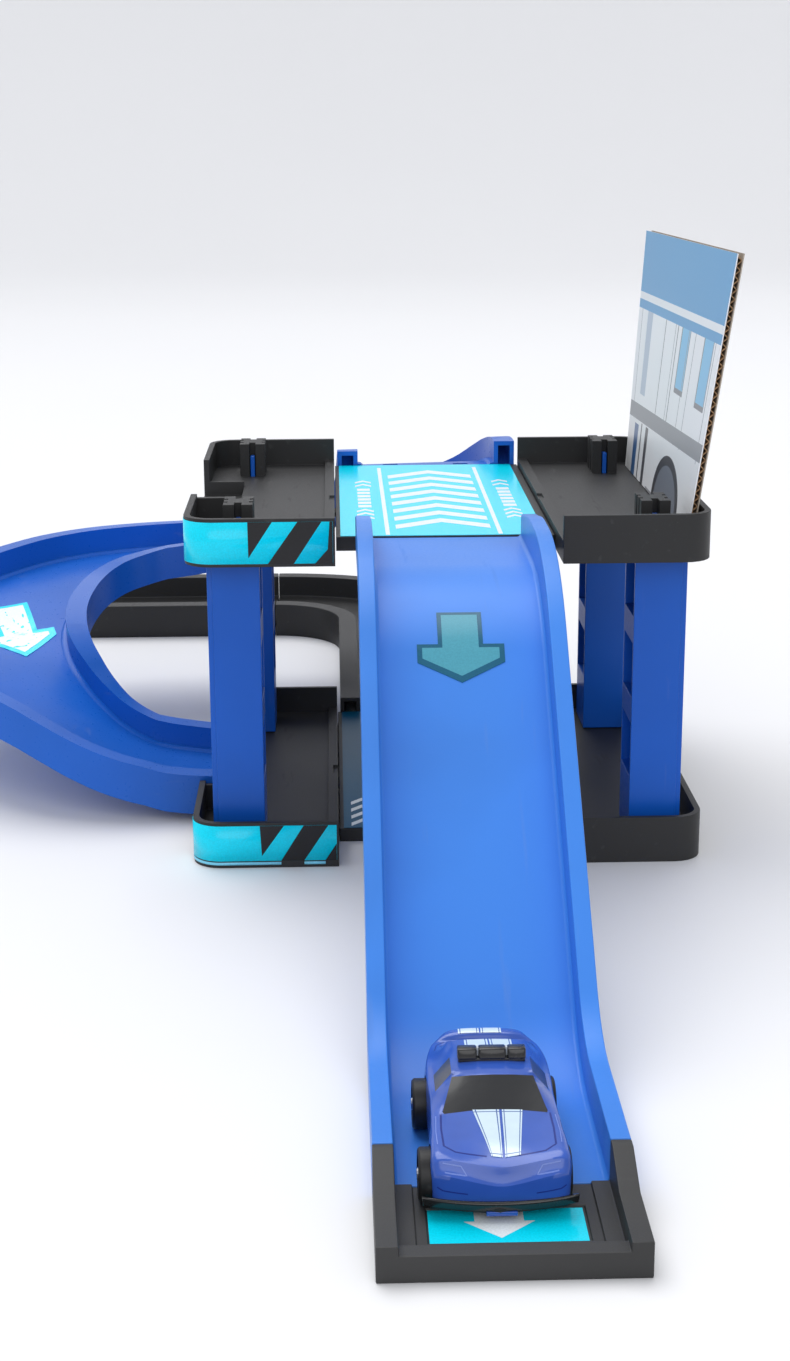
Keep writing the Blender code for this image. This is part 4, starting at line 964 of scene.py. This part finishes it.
def car_shell():
    """Body shell and its windows as two pieces."""
    shell = body_cage()
    face_outwards(shell)
    apply_modifier(shell, "SUBSURF", levels=2, render_levels=2)
    whole = shell.copy()
    whole.data = shell.data.copy()
    whole.name = "car_shape_to_lay_on"
    bpy.context.collection.objects.link(whole)
    only(shell)
    bpy.ops.object.mode_set(mode="EDIT")
    bpy.ops.mesh.separate(type="MATERIAL")
    bpy.ops.object.mode_set(mode="OBJECT")
    parts = [item for item in bpy.context.selected_objects if item.name.startswith("car_shell")]
    glass = next(item for item in parts if item.data.materials[item.data.polygons[0].material_index] == window_black)
    shell = next(item for item in parts if item is not glass)
    glass.name = "car_windows"
    shell.name = "car_painted_shell"
    return shell, glass, whole


def wheel_arch(along, side):
    """Round cutter over one wheel."""
    bpy.ops.object.select_all(action="DESELECT")
    centre = car_place(side * 15.0, along, WHEEL_HEIGHT)
    bpy.ops.mesh.primitive_cylinder_add(
        vertices=48,
        radius=ARCH_RADIUS * MM,
        depth=9.0 * MM,
        location=centre,
        rotation=(0.0, math.radians(90.0), 0.0),
    )
    return bpy.context.active_object


def laid_patch(name, corners, target, finish):
    """Four-cornered film laid from above on the car; corners are (x, along) from the rear left."""
    bpy.ops.object.select_all(action="DESELECT")
    bpy.ops.mesh.primitive_grid_add(x_subdivisions=8, y_subdivisions=20, size=1.0)
    patch = bpy.context.active_object
    patch.name = name
    (ax, ay), (bx, by), (cx, cy), (dx, dy) = corners
    for vertex in patch.data.vertices:
        u, v = vertex.co.x + 0.5, vertex.co.y + 0.5
        x = (ax * (1 - u) + bx * u) * (1 - v) + (dx * (1 - u) + cx * u) * v
        y = (ay * (1 - u) + by * u) * (1 - v) + (dy * (1 - u) + cy * u) * v
        vertex.co = car_place(x, y, ABOVE_CAR)
    lay_on(patch, target, "Z", 0.05, 0.1)
    return dress(patch, "car", finish)


def laid_line(name, points, target, finish, from_front=False, width=0.42):
    """Thin line along points laid on the car: (x, along) from above or (x, height) from in front."""
    path = []
    for first, second in zip(points, points[1:]):
        count = max(2, int(math.dist(first, second) / 0.35))
        for step in range(count):
            path.append([a + (b - a) * step / count for a, b in zip(first, second)])
    path.append(list(points[-1]))
    bpy.ops.object.select_all(action="DESELECT")
    bpy.ops.mesh.primitive_grid_add(x_subdivisions=2, y_subdivisions=len(path) - 1, size=1.0)
    line = bpy.context.active_object
    line.name = name
    for vertex in line.data.vertices:
        step = round((vertex.co.y + 0.5) * (len(path) - 1))
        before = Vector(path[max(0, step - 1)])
        after = Vector(path[min(len(path) - 1, step + 1)])
        aside = (after - before).normalized().orthogonal() * vertex.co.x * width
        a, b = Vector(path[step]) + aside
        vertex.co = car_place(a, BEFORE_NOSE, b) if from_front else car_place(a, b, ABOVE_CAR)
    lay_on(line, target, "Y" if from_front else "Z", 0.03, 0.08)
    return dress(line, "car", finish)


def stripes_and_lines(whole):
    """Twin stripes over the car, with dark lines of painted shade in its panel grooves and pale lines of painted
    highlight along its lamp and wing edges.
    """
    stripes = [
        ("hood_left", [(-2.0, 4.6), (0.3, 4.2), (0.9, 21.4), (-4.9, 21.5)]),
        ("hood_right", [(0.9, 4.2), (4.2, 4.8), (6.0, 21.3), (1.5, 21.4)]),
        ("roof_left", [(-5.2, 42.4), (0.2, 42.4), (0.1, 46.8), (-5.2, 46.8)]),
        ("roof_right", [(0.6, 42.4), (5.6, 42.4), (5.6, 46.8), (0.5, 46.8)]),
        ("tail_left", [(-5.9, 56.6), (-1.0, 56.6), (-1.0, 59.3), (-5.9, 59.3)]),
        ("tail_right", [(-0.6, 56.6), (4.2, 56.6), (4.2, 59.3), (-0.6, 59.3)]),
    ]
    for label, corners in stripes:
        laid_patch(f"car_stripe_{label}", corners, whole, stripe_white)
    for side, label in ((-1, "left"), (1, "right")):
        hood = [(side * 3.0, 4.6), (side * 9.6, 5.6), (side * 11.9, 7.4), (side * 12.1, 14.0), (side * 11.9, 20.0)]
        laid_line(f"car_hood_line_{label}", hood, whole, shadow_blue)
        lamp = [(side * 12.4, 14.3), (side * 8.6, 13.7), (side * 7.4, 12.0), (side * 12.0, 12.7)]
        laid_line(f"car_lamp_line_{label}", lamp, whole, painted_highlight_line, from_front=True, width=0.22)
        flank = [(side * 7.2, 8.2), (side * 12.4, 8.8), (side * 13.6, 9.4)]
        laid_line(f"car_bumper_line_{label}", flank, whole, shadow_blue, from_front=True, width=0.26)
        edge = [(side * 13.2, 8.0), (side * 13.3, 13.0), (side * 13.0, 19.6)]
        laid_line(f"car_wing_line_{label}", edge, whole, painted_highlight_line, width=0.2)
        boot = [(side * 9.4, 55.0), (side * 11.2, 53.6), (side * 11.8, 50.0)]
        laid_line(f"car_boot_line_{label}", boot, whole, shadow_blue, width=0.26)


def rounded_block(name, low, high):
    """Block between two corners on the car, in its own millimetres, before its edges are rounded."""
    low, high = car_place(*low), car_place(*high)
    bpy.ops.object.select_all(action="DESELECT")
    bpy.ops.mesh.primitive_cube_add(size=1.0, location=(low + high) / 2)
    block = bpy.context.active_object
    block.name = name
    block.scale = high - low
    bpy.ops.object.transform_apply(location=True, rotation=True, scale=True)
    return block


def finish_block(block, edge, finish):
    """Round a block's edges and dress it."""
    apply_modifier(block, "BEVEL", width=edge * MM, segments=3, limit_method="ANGLE")
    smooth_by_angle(block, 50.0)
    return dress(block, "car", finish)


def lamp_bar():
    """Bar of three lamps across the roof, with a pale pin in each gap whose colour is a painted highlight."""
    foot = rounded_block("car_lamp_foot", (-7.2, 34.9, 21.3), (7.8, 37.9, 22.3))
    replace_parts(finish_block(foot, 0.2, lamp_plastic), "car_light_bar")
    for index, (left, right) in enumerate(((-7.4, -3.0), (-2.6, 3.5), (3.9, 8.0))):
        lamp = rounded_block(f"car_lamp_{index}", (left, 34.6, 22.1), (right, 38.0, 24.4))
        for vertex in lamp.data.vertices:
            if vertex.co.z > 23.5 * MM and vertex.co.y < (CAR_NOSE_Y + 36.0) * MM:
                vertex.co.y += 0.7 * MM
        finish_block(lamp, 0.45, lamp_plastic)
    # Pale pins in the two gaps between the lamps: painted highlights of the light caught there
    for index, x in enumerate((-2.8, 3.7)):
        gap_highlight = rounded_block(f"car_lamp_clip_{index}", (x - 0.22, 36.4, 22.2), (x + 0.22, 37.6, 24.3))
        finish_block(gap_highlight, 0.08, lamp_gap_highlight_finish)


def front_lip():
    """Black lip under the nose, drawn out past the front wheels, with a small blue tongue."""
    bpy.ops.object.select_all(action="DESELECT")
    bpy.ops.mesh.primitive_grid_add(x_subdivisions=24, y_subdivisions=4, size=1.0)
    lip = bpy.context.active_object
    lip.name = "car_front_lip"
    section = [(0.0, 6.3), (0.15, 4.7), (2.0, 4.5), (2.2, 6.2), (0.5, 6.7)]
    for vertex in lip.data.vertices:
        across = vertex.co.x * 2.0
        back, up = section[round((vertex.co.y + 0.5) * 4)]
        along = -0.9 + 2.1 * abs(across) ** 2.2 + back * (1.0 - 0.35 * across * across)
        vertex.co = car_place(16.4 * across - 0.2, along, up + 0.5 * across * across)
    close_ends(lip)
    apply_modifier(lip, "BEVEL", width=0.2 * MM, segments=2, limit_method="ANGLE", angle_limit=math.radians(40.0))
    smooth_by_angle(lip)
    dress(lip, "car", lamp_plastic)
    tongue = rounded_block("car_nose_tongue", (-3.4, -1.0, 3.6), (3.2, 0.9, 4.6))
    finish_block(tongue, 0.2, body_paint)


def build_car():
    shell, glass, whole = car_shell()
    stripes_and_lines(whole)
    bpy.data.objects.remove(whole, do_unlink=True)
    apply_modifier(shell, "SOLIDIFY", thickness=SHELL_WALL * MM, offset=-1.0)
    apply_modifier(glass, "SOLIDIFY", thickness=WINDOW_WALL * MM, offset=-1.0)
    for along in WHEEL_PLACES:
        for side in (-1, 1):
            cutter = wheel_arch(along, side)
            apply_modifier(shell, "BOOLEAN", operation="DIFFERENCE", solver="EXACT", object=cutter)
            bpy.data.objects.remove(cutter, do_unlink=True)
    smooth_by_angle(shell, 40.0)
    smooth_by_angle(glass, 40.0)
    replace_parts(shell, "car_body")
    dress(shell, "car", body_paint)
    dress(glass, "car", window_black)
    moulded_copy("car_chassis", "car", wheel_plastic, 0.15)
    lamp_bar()
    front_lip()
    for end in ("front", "rear"):
        for hand in ("left", "right"):
            moulded_copy(f"car_wheel_{end}_{hand}", f"{end}_wheelset", wheel_plastic, 0.15)
        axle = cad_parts[f"car_axle_{end}"]
        axle.data.materials.clear()
        axle.data.materials.append(steel)


build_car()


# Floor, light and camera

def studio_floor():
    """Pale sweep: a floor that curves up into a wall far behind the garage."""
    finish, tree, shader = new_finish("studio_paper", 0.62)
    tone = mix_colours(tree, noise(tree, 900.0, 2.0), (0.80, 0.80, 0.81, 1.0), (0.84, 0.84, 0.85, 1.0))
    feed(tree, shader.inputs["Base Color"], tone)
    bpy.ops.object.select_all(action="DESELECT")
    bpy.ops.mesh.primitive_plane_add(size=1.0)
    sweep = bpy.context.active_object
    sweep.name = "studio_sweep"
    for vertex in sweep.data.vertices:
        vertex.co = (vertex.co.x * 7.0, -2.2 if vertex.co.y < 0 else 2.4, 0.0)
    bpy.ops.object.mode_set(mode="EDIT")
    bpy.ops.mesh.select_all(action="DESELECT")
    bpy.ops.object.mode_set(mode="OBJECT")
    for edge in sweep.data.edges:
        edge.select = all(sweep.data.vertices[index].co.y > 0 for index in edge.vertices)
    bpy.ops.object.mode_set(mode="EDIT")
    bpy.ops.mesh.select_mode(type="EDGE")
    for step in range(1, 17):
        first = math.radians(90.0 * (step - 1) / 16)
        second = math.radians(90.0 * step / 16)
        dy = 1.2 * (math.sin(second) - math.sin(first))
        dz = 1.2 * (math.cos(first) - math.cos(second))
        bpy.ops.mesh.extrude_region_move(TRANSFORM_OT_translate={"value": (0.0, dy, dz)})
    bpy.ops.mesh.extrude_region_move(TRANSFORM_OT_translate={"value": (0.0, 0.0, 2.0)})
    bpy.ops.object.mode_set(mode="OBJECT")
    sweep.data.materials.append(finish)
    only(sweep)
    bpy.ops.object.shade_smooth()


def wide_lamp(name, tilt, spread_angle, power):
    """Even soft light over the whole floor, tilted by degrees sideways and towards the back."""
    lamp = bpy.data.lights.new(name, "SUN")
    lamp.angle = math.radians(spread_angle)
    lamp.energy = power
    holder = bpy.data.objects.new(name, lamp)
    bpy.context.collection.objects.link(holder)
    holder.rotation_euler = (math.radians(tilt[1]), math.radians(tilt[0]), 0.0)


def studio_light():
    world = bpy.data.worlds.new("studio_air")
    bpy.context.scene.world = world
    world.use_nodes = True
    background = world.node_tree.nodes["Background"]
    background.inputs["Color"].default_value = (0.93, 0.95, 1.0, 1.0)
    background.inputs["Strength"].default_value = 0.62
    bpy.context.scene.view_settings.view_transform = "Standard"
    wide_lamp("overhead_lamp", (-14.0, -22.0), 50.0, 1.85)
    wide_lamp("front_lamp", (8.0, 58.0), 45.0, 0.80)


def photo_camera():
    cos_yaw, sin_yaw = math.cos(CAMERA_YAW), math.sin(CAMERA_YAW)
    cos_pitch, sin_pitch = math.cos(CAMERA_PITCH), math.sin(CAMERA_PITCH)
    forward = Vector((-sin_yaw * cos_pitch, cos_yaw * cos_pitch, sin_pitch))
    right = Vector((cos_yaw, sin_yaw, 0.0))
    up = right.cross(forward)
    cos_roll, sin_roll = math.cos(CAMERA_ROLL), math.sin(CAMERA_ROLL)
    rolled_right = right * cos_roll + up * sin_roll
    rolled_up = up * cos_roll - right * sin_roll
    lens = bpy.data.cameras.new("photo_camera")
    lens.sensor_fit = "AUTO"
    lens.sensor_width = SENSOR_WIDTH
    lens.lens = SENSOR_WIDTH * FOCAL_PIXELS / LONG_SIDE_PIXELS
    lens.clip_end = 50.0
    camera = bpy.data.objects.new("photo_camera", lens)
    bpy.context.collection.objects.link(camera)
    turn = Matrix((rolled_right, rolled_up, -forward)).transposed().to_4x4()
    camera.matrix_world = Matrix.Translation(Vector(CAMERA_PLACE) * MM) @ turn
    bpy.context.scene.camera = camera


studio_floor()
studio_light()
photo_camera()
